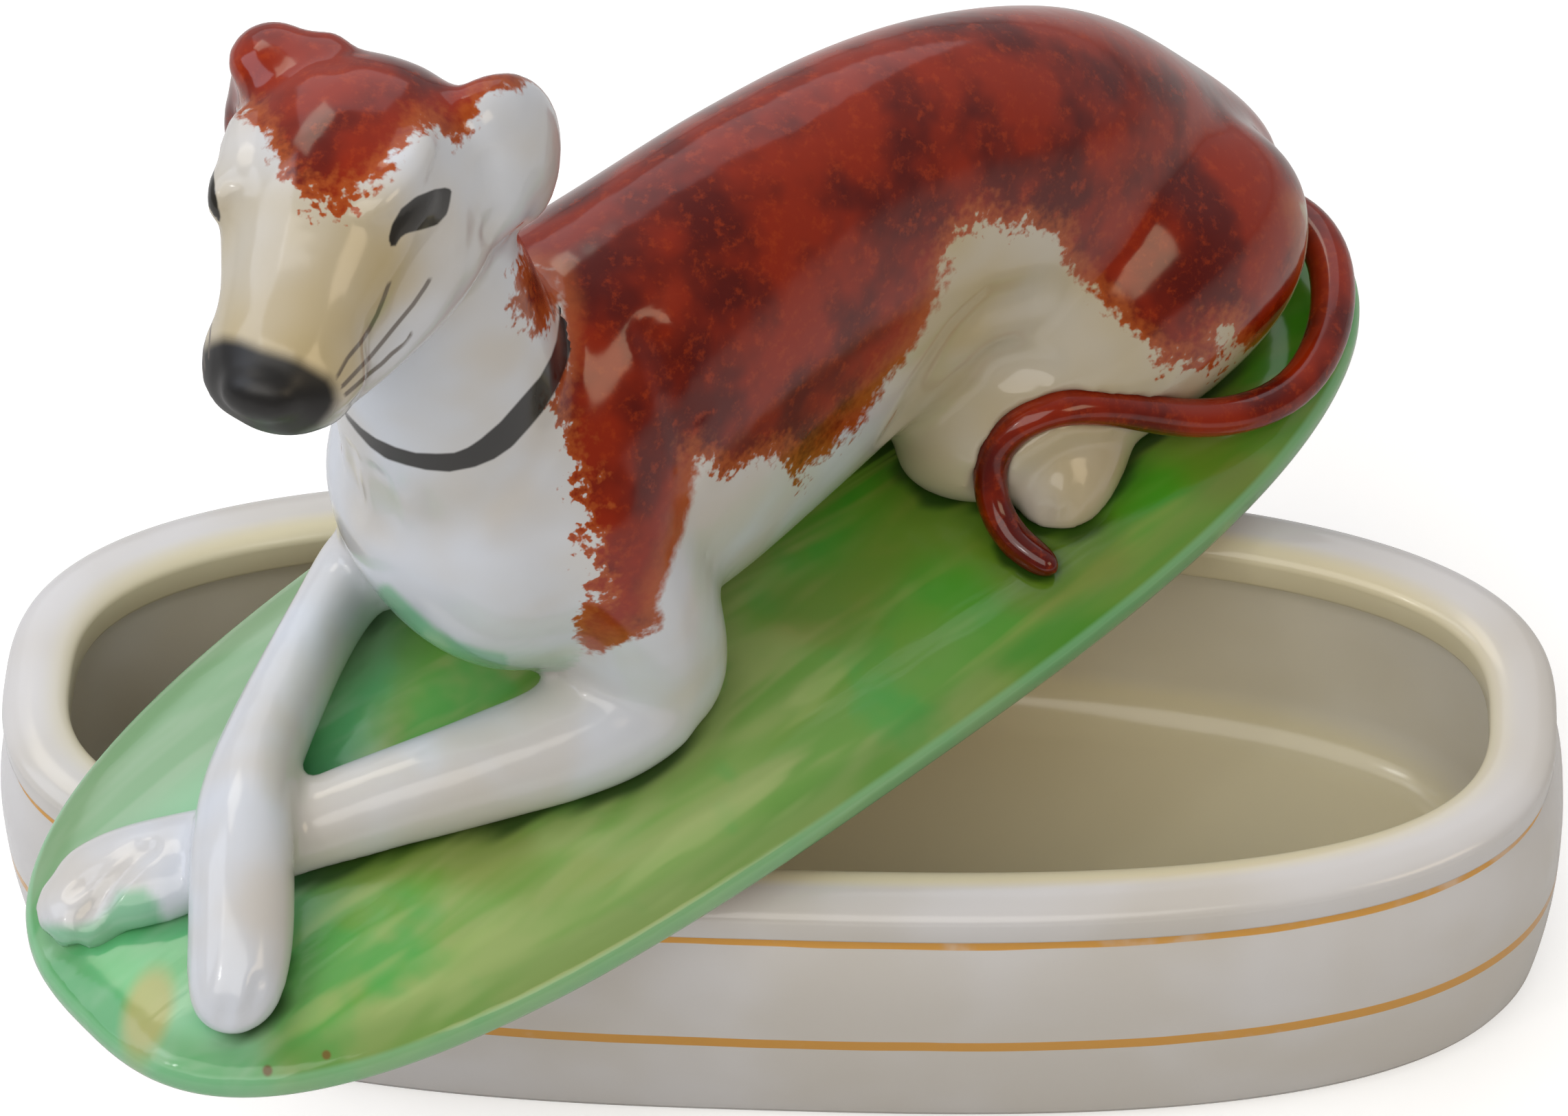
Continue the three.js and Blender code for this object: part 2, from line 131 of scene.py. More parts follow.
# The painter's stencils: outlines in millimetres on a sheet that stands upright to the
# camera's view, through the camera's target. A third number is how far the sponge strays
# from the line. The russet comes first.
SADDLE = [
    (-24.0, 27.9, 0.3), (-23.7, 21.7, 0.6), (-24.7, 18.7, 1.2), (-25.3, 16.9, 1.5),
    (-24.4, 15.6, 1.5), (-23.8, 12.8, 1.8), (-23.1, 9.8, 2.2), (-22.6, 6.8, 2.6),
    (-22.2, 3.9, 2.6), (-21.4, 0.9, 2.2), (-20.7, -2.1, 2), (-20.7, -3.9, 1.6), (-22.0, -5.1, 1.2),
    (-22.6, -6.9, 1), (-22.5, -8.8, 0.8), (-21.2, -10.1, 0.5), (-19.4, -10.3, 0.5),
    (-17.1, -9.4, 0.6), (-14.9, -8.4, 0.7), (-13.6, -7.4, 0.5), (-13.1, -6.5, 0.4),
    (-13.7, -5.4, 0.3), (-13.4, -3.6, 0.3), (-12.5, -1.7, 0.2), (-11.6, 0.5, 0.2),
    (-10.7, 3.1, 0.2), (-10.1, 5.7, 0.2), (-9.7, 8.3, 0.3), (-9.3, 11.0, 1), (-8.4, 10.4, 1.3),
    (-7.1, 9.2, 1.5), (-5.4, 8.6, 1.3), (-4.1, 9.5, 1.2), (-2.6, 10.6, 1.2), (-1.2, 11.0, 1),
    (0.1, 11.0, 1), (0.7, 9.1, 1.2), (1.4, 8.0, 1.2), (2.2, 8.9, 1), (3.7, 10.3, 0.8),
    (5.2, 11.5, 0.8), (6.5, 12.9, 0.7), (8.1, 14.4, 0.7), (9.0, 15.8, 0.6), (10.0, 17.4, 0.6),
    (11.1, 19.2, 0.6), (11.9, 20.2, 0.6), (13.0, 21.0, 0.5), (14.1, 22.6, 0.5), (15.2, 24.7, 0.4),
    (16.3, 26.9, 0.4), (17.1, 29.1, 0.5), (17.5, 31.0, 0.7), (17.8, 32.9, 1), (18.7, 34.3, 1.2),
    (20.0, 35.2, 1.4), (22.3, 36.6, 1.4), (23.6, 35.5, 1.3), (25.2, 35.4, 1.3), (26.9, 36.1, 1.2),
    (28.4, 35.8, 1.1), (29.5, 34.6, 1), (30.1, 33.0, 0.9), (31.0, 30.8, 0.8), (33.4, 29.3, 0.9),
    (34.5, 28.0, 1), (35.6, 26.5, 1), (37.3, 24.7, 1), (39.5, 22.8, 1.1), (40.5, 21.7, 1.2),
    (41.0, 19.8, 1.2), (41.9, 21.4, 1.2), (43.8, 21.0, 1.2), (45.0, 19.8, 1.3), (45.8, 19.0, 1.4),
    (46.8, 20.0, 1.4), (47.6, 21.7, 1.3), (47.2, 24.5, 1.2), (48.3, 24.7, 1.1), (49.0, 23.0, 1),
    (49.9, 22.3, 0.8), (51.4, 21.6, 0.6), (53.3, 21.7, 0.5), (55.0, 23.2, 0.4), (56.2, 24.8, 0.3),
    (56.7, 26.9, 0.2), (57.0, 29.1, 0.2), (57.0, 32.1, 0.2), (56.9, 35.1, 0.2), (56.4, 37.3, 0.2),
    (55.9, 38.2, 0.2), (60.9, 39.5, 0.2), (60.9, 67.8, 0.2), (-29.8, 67.8, 0.2),
    (-28.3, 39.5, 0.2), (-26.9, 35.5, 0.2), (-25.7, 32.5, 0.2), (-24.7, 30.2, 0.2)]
NAPE = [
    (-27.4, 35.8, 0.3), (-28.5, 32.1, 0.8), (-29.1, 30.6, 1), (-29.0, 27.6, 1), (-29.5, 26.5, 1.1),
    (-28.9, 25.0, 1.1), (-27.8, 25.8, 1), (-27.1, 23.9, 1), (-26.2, 24.1, 1), (-25.6, 25.4, 0.8),
    (-25.0, 26.5, 0.5), (-24.2, 27.9, 0.3), (-24.0, 29.1, 0.2), (-24.7, 30.8, 0.2),
    (-25.8, 32.7, 0.2), (-26.8, 35.5, 0.2)]
CROWN = [
    (-59.4, 48.0, 0.6), (-58.1, 47.8, 0.9), (-56.7, 46.5, 1), (-55.7, 44.7, 1), (-54.9, 42.2, 1.1),
    (-54.0, 40.9, 1.3), (-52.8, 40.1, 1.5), (-51.6, 38.4, 1.8), (-49.8, 37.5, 2), (-47.9, 36.1, 2),
    (-46.4, 37.6, 1.9), (-46.1, 39.2, 1.6), (-44.2, 40.7, 1.2), (-43.4, 41.1, 1), (-42.1, 43.0, 1),
    (-40.8, 44.3, 1), (-39.1, 46.8, 1), (-38.2, 47.1, 1), (-36.5, 45.5, 1), (-35.6, 44.6, 1.1),
    (-34.7, 45.5, 1.1), (-33.9, 45.8, 1.1), (-33.0, 47.1, 1), (-32.7, 49.1, 1), (-32.3, 50.4, 0.9),
    (-31.0, 50.5, 0.8), (-28.4, 51.1, 0.7), (-26.2, 51.9, 0.5), (-24.6, 55.9, 0.3),
    (-38.7, 64.8, 0.3), (-62.5, 63.3, 0.3), (-61.7, 51.4, 0.4)]
NOSE = [
    (-63.0, 22.7), (-62.1, 23.4), (-60.6, 23.9), (-58.8, 23.6), (-56.5, 22.7), (-53.8, 21.9),
    (-52.2, 21.3), (-50.6, 20.4), (-49.1, 19.5), (-48.4, 18.3), (-48.2, 16.9), (-48.8, 15.5),
    (-50.2, 13.9), (-56.5, 10.6), (-64.0, 12.0), (-66.2, 18.0), (-64.7, 22.1)]
NEAR_EYE = [
    (-35.9, 39.8), (-36.5, 40.1), (-37.8, 39.9), (-39.8, 39.1), (-41.4, 37.8), (-42.4, 36.1),
    (-42.8, 34.5), (-42.5, 33.6), (-42.0, 33.7), (-41.5, 34.6), (-40.8, 35.1), (-39.1, 35.5),
    (-37.5, 36.0), (-36.4, 37.2), (-36.1, 38.4)]
COLLAR = [
    (-47.6, 16.1), (-46.9, 15.3), (-45.7, 14.1), (-44.2, 13.0), (-42.0, 12.0), (-39.9, 11.4),
    (-37.4, 11.3), (-35.6, 11.4), (-34.1, 12.0), (-32.8, 12.9), (-30.7, 14.7), (-28.5, 17.2),
    (-26.4, 19.6), (-25.2, 21.8), (-24.6, 23.6), (-24.3, 26.1), (-24.5, 28.4), (-23.2, 27.6),
    (-22.8, 25.4), (-22.9, 23.0), (-23.5, 20.8), (-24.5, 18.4), (-26.0, 15.9), (-27.5, 14.1),
    (-29.4, 12.0), (-31.3, 10.7), (-33.5, 9.8), (-36.2, 9.3), (-38.7, 9.5), (-40.8, 10.0),
    (-43.0, 10.7), (-44.8, 12.0), (-46.3, 13.7), (-47.4, 15.2)]
WHISKERS = [
    [(-48.4, 19.5), (-47.3, 21.5), (-45.7, 23.4), (-44.8, 24.8), (-44.0, 26.3), (-43.2, 28.3),
     (-42.5, 30.3)],
    [(-47.8, 18.5), (-46.1, 20.3), (-44.7, 21.8), (-43.3, 23.5), (-42.1, 25.0), (-40.1, 27.4),
     (-38.8, 29.3), (-37.8, 31.0)],
    [(-47.6, 17.5), (-46.1, 18.8), (-44.9, 19.9), (-43.5, 21.0), (-42.4, 22.1), (-40.8, 23.3),
     (-40.1, 24.5)]]
WHISKER_FAN = [
    (-48.8, 19.6), (-46.1, 24.7), (-44.3, 28.4), (-43.0, 30.0), (-42.0, 30.3), (-40.2, 29.1),
    (-38.8, 30.5), (-37.6, 30.5), (-38.1, 28.4), (-40.2, 25.4), (-39.9, 24.1), (-40.9, 22.8),
    (-44.6, 18.7), (-47.2, 16.4)]
# Where green glaze ran over the left paw, and the middle of a teal band along the chest.
PAW_WASH = [
    (-80.5, -39.5), (-76.8, -39.8), (-74.4, -39.2), (-72.9, -37.6), (-72.0, -36.0), (-69.2, -35.6),
    (-67.6, -37.0), (-66.6, -40.4), (-66.0, -48.0), (-82.0, -48.0)]
CHEST_BAND = [
    (-43.1, -3.9), (-40.8, -6.1), (-38.4, -8.3), (-35.7, -9.9), (-33.0, -10.8), (-30.6, -11.2)]

# Working with meshes

def only(piece):
    """Leaves one piece selected and active, because an operator acts on all that is selected."""
    if bpy.context.mode != "OBJECT":
        bpy.ops.object.mode_set(mode="OBJECT")
    bpy.ops.object.select_all(action="DESELECT")
    piece.select_set(True)
    bpy.context.view_layer.objects.active = piece
    return piece


def apply_modifier(piece, kind, **settings):
    only(piece)
    modifier = piece.modifiers.new(kind.title(), kind)
    for name, value in settings.items():
        setattr(modifier, name, value)
    bpy.ops.object.modifier_apply(modifier=modifier.name)


def place(piece, matrix):
    """Puts the piece's place into its mesh, and its object back to the origin."""
    piece.matrix_world = matrix @ piece.matrix_world
    only(piece)
    bpy.ops.object.transform_apply(location=True, rotation=True, scale=True)
    return piece


def join(name, pieces):
    only(pieces[0])
    for piece in pieces:
        piece.select_set(True)
    bpy.ops.object.join()
    joined = bpy.context.view_layer.objects.active
    joined.name = name
    joined.data.name = name
    return joined


def vertices_of(piece, what="co"):
    """The places of the piece's vertices, or their normals."""
    values = np.empty(len(piece.data.vertices) * 3, np.float32)
    piece.data.vertices.foreach_get(what, values)
    return values.reshape(-1, 3).astype(float)


def set_vertices(piece, points):
    piece.data.vertices.foreach_set("co", points.astype(np.float32).ravel())
    piece.data.update()


def into_frame(matrix, points):
    """World points in the frame that the matrix stands for."""
    inverse = np.array(matrix.inverted())
    return points @ inverse[:3, :3].T + inverse[:3, 3]


def out_of_frame(matrix, points):
    there = np.array(matrix)
    return points @ there[:3, :3].T + there[:3, 3]


def axes_of(matrix):
    """The frame's axes as columns, each of length 1, by which a direction is turned into it."""
    axes = np.array(matrix.to_3x3())
    return axes / np.linalg.norm(axes, axis=0)


def smoothstep(low, high, values):
    share = np.clip((values - low) / (high - low), 0, 1)
    return share * share * (3 - 2 * share)


def paint(piece, name, values):
    """Stores one number for each vertex, which the glaze reads as an attribute."""
    layer = piece.data.attributes.new(name, "FLOAT", "POINT")
    layer.data.foreach_set("value", np.asarray(values, np.float32))


def skin_of(piece):
    """A search tree over the piece's faces."""
    mesh = piece.data
    return BVHTree.FromPolygons([v.co for v in mesh.vertices],
                                [p.vertices for p in mesh.polygons])


def distances(tree, points, reach):
    """How far each point is from the skin, up to the reach."""
    found = np.full(len(points), reach)
    for i, point in enumerate(points):
        distance = tree.find_nearest(point, reach)[3]
        if distance is not None:
            found[i] = distance
    return found


# Ovals: pieces thrown as a stack of level ovals.

def quarter_round(run, rise, steps, put, power=2):
    """Levels of a rounded corner, which sets out upright and ends level. put places each."""
    levels = []
    for i in range(steps + 1):
        left = math.cos(math.pi / 2 * i / steps)
        levels.append(put(run * (1 - left), rise * (1 - left ** power) ** (1 / power)))
    return levels


def oval_stack(name, half_length, half_width, levels, sides=128, hollow=False):
    """Extrudes an oval ring through levels of (inset, height), each scaled to its own outline."""
    inset, height = levels[0]
    bpy.ops.object.select_all(action="DESELECT")
    bpy.ops.mesh.primitive_circle_add(vertices=sides, radius=1)
    piece = bpy.context.active_object
    piece.name = name
    points = vertices_of(piece)
    bent = np.sign(points) * np.abs(points) ** (2 / OVAL_POWER)
    points = bent * (half_length - inset, half_width - inset, 0) + (0, 0, height)
    set_vertices(piece, points)
    bpy.ops.object.mode_set(mode="EDIT")
    bpy.ops.mesh.select_all(action="SELECT")
    if not hollow:
        close_ring(height)
    for next_inset, next_height in levels[1:]:
        bpy.ops.mesh.extrude_region_move(
            TRANSFORM_OT_translate={"value": (0, 0, next_height - height)})
        wider = (half_length - next_inset) / (half_length - inset)
        deeper = (half_width - next_inset) / (half_width - inset)
        bpy.ops.transform.resize(value=(wider, deeper, 1), center_override=(0, 0, next_height))
        inset, height = next_inset, next_height
    if not hollow:
        close_ring(height)
    else:
        bpy.ops.mesh.select_all(action="SELECT")
        bpy.ops.mesh.remove_doubles(threshold=SAME_POINT)
    bpy.ops.mesh.select_all(action="SELECT")
    bpy.ops.mesh.normals_make_consistent(inside=False)
    bpy.ops.object.mode_set(mode="OBJECT")
    bpy.ops.object.shade_smooth()
    return piece


def close_ring(height):
    """Closes the selected ring by rings that shrink to its middle, and leaves it selected."""
    bpy.ops.object.mode_set(mode="OBJECT")
    mesh = bpy.context.active_object.data
    ring = [v.index for v in mesh.vertices if v.select]
    bpy.ops.object.mode_set(mode="EDIT")
    share = 1.0
    for next_share in (0.75, 0.5, 0.25, 0.08):
        bpy.ops.mesh.extrude_region_move(TRANSFORM_OT_translate={"value": (0, 0, 0)})
        factor = next_share / share
        bpy.ops.transform.resize(value=(factor, factor, 1), center_override=(0, 0, height))
        share = next_share
    bpy.ops.mesh.merge(type="CENTER")
    bpy.ops.mesh.select_all(action="DESELECT")
    bpy.ops.object.mode_set(mode="OBJECT")
    for index in ring:
        mesh.vertices[index].select = True
    for edge in mesh.edges:
        edge.select = all(mesh.vertices[i].select for i in edge.vertices)
    bpy.ops.object.mode_set(mode="EDIT")


def make_tray():
    """The tray's section goes up the outside, over the broad rim and down the inside."""
    step = TRAY_HEIGHT - RIM_BAND
    belly = TRAY_HEIGHT * BELLY_SHARE

    def wall_inset(height):
        if height < belly:
            return FOOT_INSET * (1 - height / belly) ** 2
        return (RIM_INSET + RIM_STEP) * ((height - belly) / (step - belly)) ** 3

    levels = [(wall_inset(0) + FOOT_CHAMFER * math.cos(a), FOOT_CHAMFER * math.sin(a))
              for a in np.linspace(0, math.pi / 2, 6)]
    levels += [(wall_inset(h), h) for h in np.linspace(FOOT_CHAMFER, step, 30)[1:]]
    levels += [(RIM_INSET + RIM_STEP * share, step + RIM_STEP * rise)
               for share, rise in ((0.85, 0.35), (0.45, 0.7), (0.12, 1.0), (0, 1.5))]
    base = TRAY_HEIGHT - RIM_ROUND
    crown = RIM_WALL / 2
    mouth = RIM_INSET + RIM_WALL
    levels += quarter_round(crown, RIM_ROUND, 12, lambda x, z: (RIM_INSET + x, base + z))
    levels += quarter_round(crown, RIM_ROUND, 12, lambda x, z: (mouth - x, base + z))[-2::-1]
    inner = RIM_INSET + LOWER_WALL
    ledge = step - LEDGE_SLOPE
    levels += [(mouth, step + 2 * EASING), (mouth - EASING, step - EASING * 2 / 3),
               (inner + EASING, ledge), (inner, ledge - 2 * EASING)]
    levels += [(inner, h) for h in np.linspace(ledge, FLOOR + FLOOR_FILLET, 8)[1:-1]]
    levels += quarter_round(FLOOR_FILLET, FLOOR_FILLET, 12,
                            lambda x, z: (inner + x, FLOOR + FLOOR_FILLET - z))
    tray = oval_stack("tray", HALF_LENGTH, HALF_WIDTH, levels, sides=256)
    # inside: 1 within the rim's crown, -1 outside it and under the foot
    points = vertices_of(tray)
    oval = (np.abs(points[:, 0]) / (HALF_LENGTH - RIM_INSET - crown)) ** OVAL_POWER
    oval += (np.abs(points[:, 1]) / (HALF_WIDTH - RIM_INSET - crown)) ** OVAL_POWER
    under = points[:, 2] < FLOOR / 2
    paint(tray, "inside", np.where(under, -1, np.clip((1 - oval) * 6, -1, 1)))
    return tray


def inset_of(points):
    """How far inside the tray's outline each point lies, in millimetres, found by halving."""
    low = 0.0
    high = HALF_WIDTH / MM
    inset = np.full(len(points), high / 2)
    for _ in range(24):
        halves = np.stack([HALF_LENGTH / MM - inset, HALF_WIDTH / MM - inset], axis=1)
        oval = (np.abs(points[:, :2]) / np.maximum(halves, 0.01)) ** OVAL_POWER
        beyond = oval[:, 0] + oval[:, 1] > 1
        high = np.where(beyond, inset, high)
        low = np.where(beyond, low, inset)
        inset = (low + high) / 2
    return inset


def make_plate(dog, tail):
    """The plate's section goes up from its underside, round its edge and over the mound."""
    half_length = HALF_LENGTH + LID_OVERHANG
    half_width = HALF_WIDTH + LID_OVERHANG
    middle = RING_DEPTH + PLATE_EDGE
    levels = [(UNDERCUT * share, RING_DEPTH + PLATE_EDGE * rise)
              for share, rise in ((1, 0), (0.6, 0.07), (0.25, 0.25), (0.06, 0.5), (0, 0.75))]
    levels += quarter_round(half_width - MOUND_TOP_WIDTH / 2, MOUND_HEIGHT, 64,
                            lambda x, z: (x, middle + z), MOUND_POWER)
    plate = oval_stack("lid_mound", half_length, half_width, levels, sides=480)

    outer = LID_OVERHANG + RIM_INSET + RIM_WALL + RING_PLAY
    inner = outer + RING_WALL
    top = RING_DEPTH + PLATE_EDGE / 2
    chamfer = [(RING_CHAMFER * x, RING_CHAMFER * z) for x, z in ((1, 0), (0.3, 0.3), (0, 1))]
    section = [(outer + x, z) for x, z in chamfer] + [(outer, top), (inner, top)]
    section += [(inner - x, z) for x, z in chamfer[::-1]] + [(outer + RING_CHAMFER, 0)]
    ring = oval_stack("lid_ring", half_length, half_width, section, hollow=True)
    plate = join("lid_mound", [plate, ring])

    # how far from its edge and from the dog, and how far below the glaze, each point is
    paint(plate, "rim", inset_of(vertices_of(plate) / MM))
    seat = Matrix.Translation((LID_CENTRE.x, LID_CENTRE.y, PLATE_LOW.z))
    place(plate, seat @ Matrix.Rotation(LID_TURN, 4, "Z"))
    points = vertices_of(plate)
    # the distance from the dog and the tail sets the painted contact shade in the green glaze
    near = [distances(skin_of(piece), points, CONTACT_SHADE_REACH) for piece in (dog, tail)]
    paint(plate, "from_dog", np.minimum(near[0], near[1] * TAIL_CONTACT_SHADE) / MM)
    paint(plate, "unpainted", (FIGURE_BASE - GLAZE_REACH - points[:, 2]) / MM)
    return plate


# The dog: its moulded parts are joined, and lumps of slip are added and smoothed over.

HEAD_PARTS = ["dog_head", "ear_left", "ear_right"]
BODY_PARTS = ["dog_torso", "dog_neck", "foreleg_left", "foreleg_right", "hind_leg_left",
              "hind_leg_right"]


def moulded_copy(node, swell=SWELL):
    """A merged, rounded copy of one of the dog's solids, swollen to close the seams."""
    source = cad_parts[node]
    piece = source.copy()
    piece.data = source.data.copy()
    piece.parent = None
    bpy.context.scene.collection.objects.link(piece)
    only(piece)
    bpy.ops.object.mode_set(mode="EDIT")
    bpy.ops.mesh.select_all(action="SELECT")
    bpy.ops.mesh.remove_doubles(threshold=SAME_POINT)
    bpy.ops.mesh.tris_convert_to_quads()
    bpy.ops.object.mode_set(mode="OBJECT")
    apply_modifier(piece, "SUBSURF", levels=2, render_levels=2)
    apply_modifier(piece, "DISPLACE", strength=swell, mid_level=0)
    # the solid's own marks aren't the copy's
    for key in list(piece.keys()):
        del piece[key]
    return piece


def lump(frame_matrix, centre, radii, turn=0):
    """A rounded lump of slip, in millimetres of the figure's or the head's frame."""
    bpy.ops.object.select_all(action="DESELECT")
    bpy.ops.mesh.primitive_uv_sphere_add(segments=40, ring_count=24, radius=1)
    piece = bpy.context.active_object
    spin = Matrix.Rotation(math.radians(turn), 4, "Z")
    size = Matrix.Diagonal((*radii, 1))
    return place(piece, frame_matrix @ Matrix.Translation(centre) @ spin @ size)


def press(piece, frame_matrix, line, reach, depth):
    """Presses a groove of that depth along a line through the surface, or raises a ridge where
    the depth is negative. All in millimetres."""
    points = vertices_of(piece)
    local = into_frame(frame_matrix, points)
    nearest = np.full(len(local), np.inf)
    for start, end in zip(line[:-1], line[1:]):
        start, end = np.array(start, float), np.array(end, float)
        along = end - start
        t = np.clip((local - start) @ along / (along @ along), 0, 1)
        nearest = np.minimum(nearest, np.linalg.norm(local - start - t[:, None] * along, axis=1))
    fade = np.clip(1 - (nearest / reach) ** 2, 0, 1) ** 2
    points -= vertices_of(piece, "normal") * (fade * depth * MM)[:, None]
    set_vertices(piece, points)


def mirrored(line):
    """The same line on the other side of the dog's body."""
    return [(x, 2 * FIGURE_MIDDLE - y, z) for x, y, z in line]


# Lumps of slip on both sides of the head: centre, radii, turn.
CHEEK_LUMPS = [
    # cheek and side of the muzzle
    ((-3, 4, -4), (11, 8, 9.5), 0),
    ((5, 4, -4.5), (10, 5, 6), 0),
    # back of the skull, and the valley under the eye
    ((-13, 10.5, -3), (5, 5, 9), 0),
    ((-4, 8.6, -2), (10, 3.5, 4.5), 0),
    # eyeball and brow
    ((-0.4, 8.6, 5), (4.4, 1.9, 2.6), -16),
    ((-2, 7.2, 8.4), (6, 3, 2.2), -12),
]
# Lumps on one side or in the middle.
CROWN_LUMPS = [
    # the far ear runs into the crown
    ((-12.5, -8.5, 8.8), (4.5, 4.5, 3.2), 15),
    ((-12.5, -4.5, 8.8), (4.5, 4.5, 2.4), 0),
    # the far eye stands out, and so does the nose
    ((1.4, -8.4, 6.8), (4, 1.8, 3), 0),
    ((19.6, 0, 0.2), (2.6, 4.2, 3), 0),
]

# Folds to press into the surface: line, reach, depth.
FOLDS = [
    # behind the shoulder
    ([(-11.9, -7, 56.6), (-12.3, -9, 53.8), (-12.5, -10.8, 50.6), (-12.7, -12.2, 47.2),
      (-13.2, -13.3, 43)], 2.6, 0.35),
    ([(-10.8, -8, 55.4), (-10.7, -9.5, 52.9), (-10.3, -10.8, 50.4), (-10, -11.9, 47.7)], 2, 0.25),
    # round the thigh and above the hock
    ([(34.5, -11.6, 31.3), (29.5, -10.9, 32.9), (26, -10.5, 31.6), (23.4, -10.2, 29.1),
      (20.9, -9.8, 26.3), (18.9, -8.8, 21.6)], 4.5, 0.7),
    ([(30.4, -10.3, 24.1), (32.9, -11.4, 22), (34.4, -13.9, 21.6)], 3.5, 0.7),
    # down the breast
    ([(-40.7, 1.1, 50.9), (-40.3, 0.4, 47), (-39.8, 0.9, 41.9)], 2.5, 0.35),
]
TOES = [
    ([(-79.5, 5.8, 3.2), (-78, 6, 6.2), (-73, 6.3, 8.6), (-69, 6.2, 9.6)], 1.5, 0.8),
    ([(-80.5, 8.4, 3.5), (-77.5, 8.6, 6.5), (-73, 8.2, 8.2), (-70, 7.6, 9.2)], 1.4, 0.5),
    ([(-77.3, -14.8, 5), (-75, -13.6, 8), (-71, -11, 10.5)], 1.4, 0.3),
    ([(-76.6, -17.5, 4.5), (-74.4, -16, 7), (-71, -13.8, 9.4)], 1.4, 0.3),
]
HIND_TOES = [
    ([(27.5, -20.6, 5.2), (30, -19.4, 7.6), (33, -17.6, 9.6)], 1.4, 0.4),
    ([(28.5, -22.6, 4), (31, -21.2, 7), (34, -19.4, 9.4)], 1.4, 0.4),
]
HEAD_FOLDS = [
    # the crease before the ear, and the mouth
    ([(-9.7, 12.9, 2.4), (-10.1, 12.2, -3.2), (-7.5, 12.4, -5.2)], 2, 0.4),
    ([(18, 6.3, -3.5), (12, 7, -5), (6, 7.6, -7)], 1.6, 0.3),
    # the muzzle draws in behind the nose, and the nose stands out
    ([(1, 10, -1), (5, 9, -1.5), (9, 8.2, -2)], 6, 1.1),
    ([(15, 7.4, -2), (18, 6.8, -2.4)], 5, -0.6),
]


def smooth_joints(dog, names, apart, order):
    """Smooths the dog where two of its parts meet. apart is how far each part's skin is from
    each point, and order lists the nearest part first. The forelegs stay crisp where they
    cross, and the ears nearly so."""
    second = np.take_along_axis(apart, order[1:2], axis=0)[0]
    crossing = [names.index("foreleg_left"), names.index("foreleg_right")]
    crossed = np.isin(order[0], crossing) & np.isin(order[1], crossing)
    ears = np.isin(order[0], [names.index(name) for name in HEAD_PARTS[1:]])
    blend = 1 - smoothstep(1.2 * MM, 5 * MM, second)
    blend = np.where(crossed, 0, np.where(ears, blend * 0.4, blend))
    # the upper arms run smoothly into the shoulders
    figure = into_frame(FIGURE, vertices_of(dog))
    for side in (-1, 1):
        gap = np.linalg.norm(figure - (-22, FIGURE_MIDDLE + side * 11, 50), axis=1)
        blend = np.maximum(blend, 1 - smoothstep(5, 12, gap))
    group = dog.vertex_groups.new(name="joints")
    for i in np.nonzero(blend > 0.02)[0]:
        group.add([int(i)], float(blend[i]), "REPLACE")
    apply_modifier(dog, "SMOOTH", factor=0.5, iterations=JOINT_SMOOTHING, vertex_group="joints")
    dog.vertex_groups.clear()


def press_folds(dog):
    for line, reach, depth in FOLDS:
        press(dog, FIGURE, line, reach, depth)
        press(dog, FIGURE, mirrored(line), reach, depth)
    for line, reach, depth in TOES + HIND_TOES:
        press(dog, FIGURE, line, reach, depth)
    for line, reach, depth in HIND_TOES:
        press(dog, FIGURE, mirrored(line), reach, depth)
    for side in (1, -1):
        for line, reach, depth in HEAD_FOLDS:
            press(dog, HEAD, [(x, side * y, z) for x, y, z in line], reach, depth)
    # the far ear falls away to the crown
    press(dog, HEAD, [(-12, -5, 15), (-12, -1.5, 14.8)], 4, 1.3)


def make_dog():
    names = BODY_PARTS + HEAD_PARTS
    copies = [moulded_copy(name) for name in names]
    skins = [skin_of(copy) for copy in copies]
    lumps = []
    for side in (1, -1):
        for (x, y, z), radii, turn in CHEEK_LUMPS:
            lumps.append(lump(HEAD, (x, side * y, z), radii, side * turn))
    for centre, radii, turn in CROWN_LUMPS:
        lumps.append(lump(HEAD, centre, radii, turn))
    # a broader left paw
    lumps.append(lump(FIGURE, (-76.2, 8.6, 4.2), (5.2, 5, 3.4)))
    # flesh behind the elbow, between the chest and the upper arm
    for side in (-1, 1):
        lumps.append(lump(FIGURE, (-20, FIGURE_MIDDLE + side * 11.5, 34), (8, 5, 9)))
    dog = join("greyhound", copies + lumps)
    apply_modifier(dog, "REMESH", mode="VOXEL", voxel_size=VOXEL)
    apply_modifier(dog, "SMOOTH", factor=0.5, iterations=SMOOTHING)
    apart = np.array([distances(skin, vertices_of(dog), JOINT_REACH) for skin in skins])
    order = np.argsort(apart, axis=0)
    smooth_joints(dog, names, apart, order)
    press_folds(dog)
    only(dog)
    bpy.ops.object.shade_smooth()
    paint_coat(dog, np.array(names)[order[0]])
    return dog


# Painting the dog: each stencil's number is how far inside its outline a point lies, in
# millimetres, and FAR stands for anything further.

FAR = 9
HIDDEN_STRAY = 1.2
RIGHT, UP, AHEAD = [np.array(axis) for axis in camera_axes()]
EYE_POINT = np.array(CAMERA_TARGET) - AHEAD * CAMERA_DISTANCE


def on_sheet(points):
    """Where the stencil sheet meets the line of sight to each point, in millimetres."""
    ray = points - EYE_POINT
    ahead = ray @ AHEAD
    scale = CAMERA_DISTANCE / ahead / MM
    return np.stack([ray @ RIGHT * scale, ray @ UP * scale], axis=1)


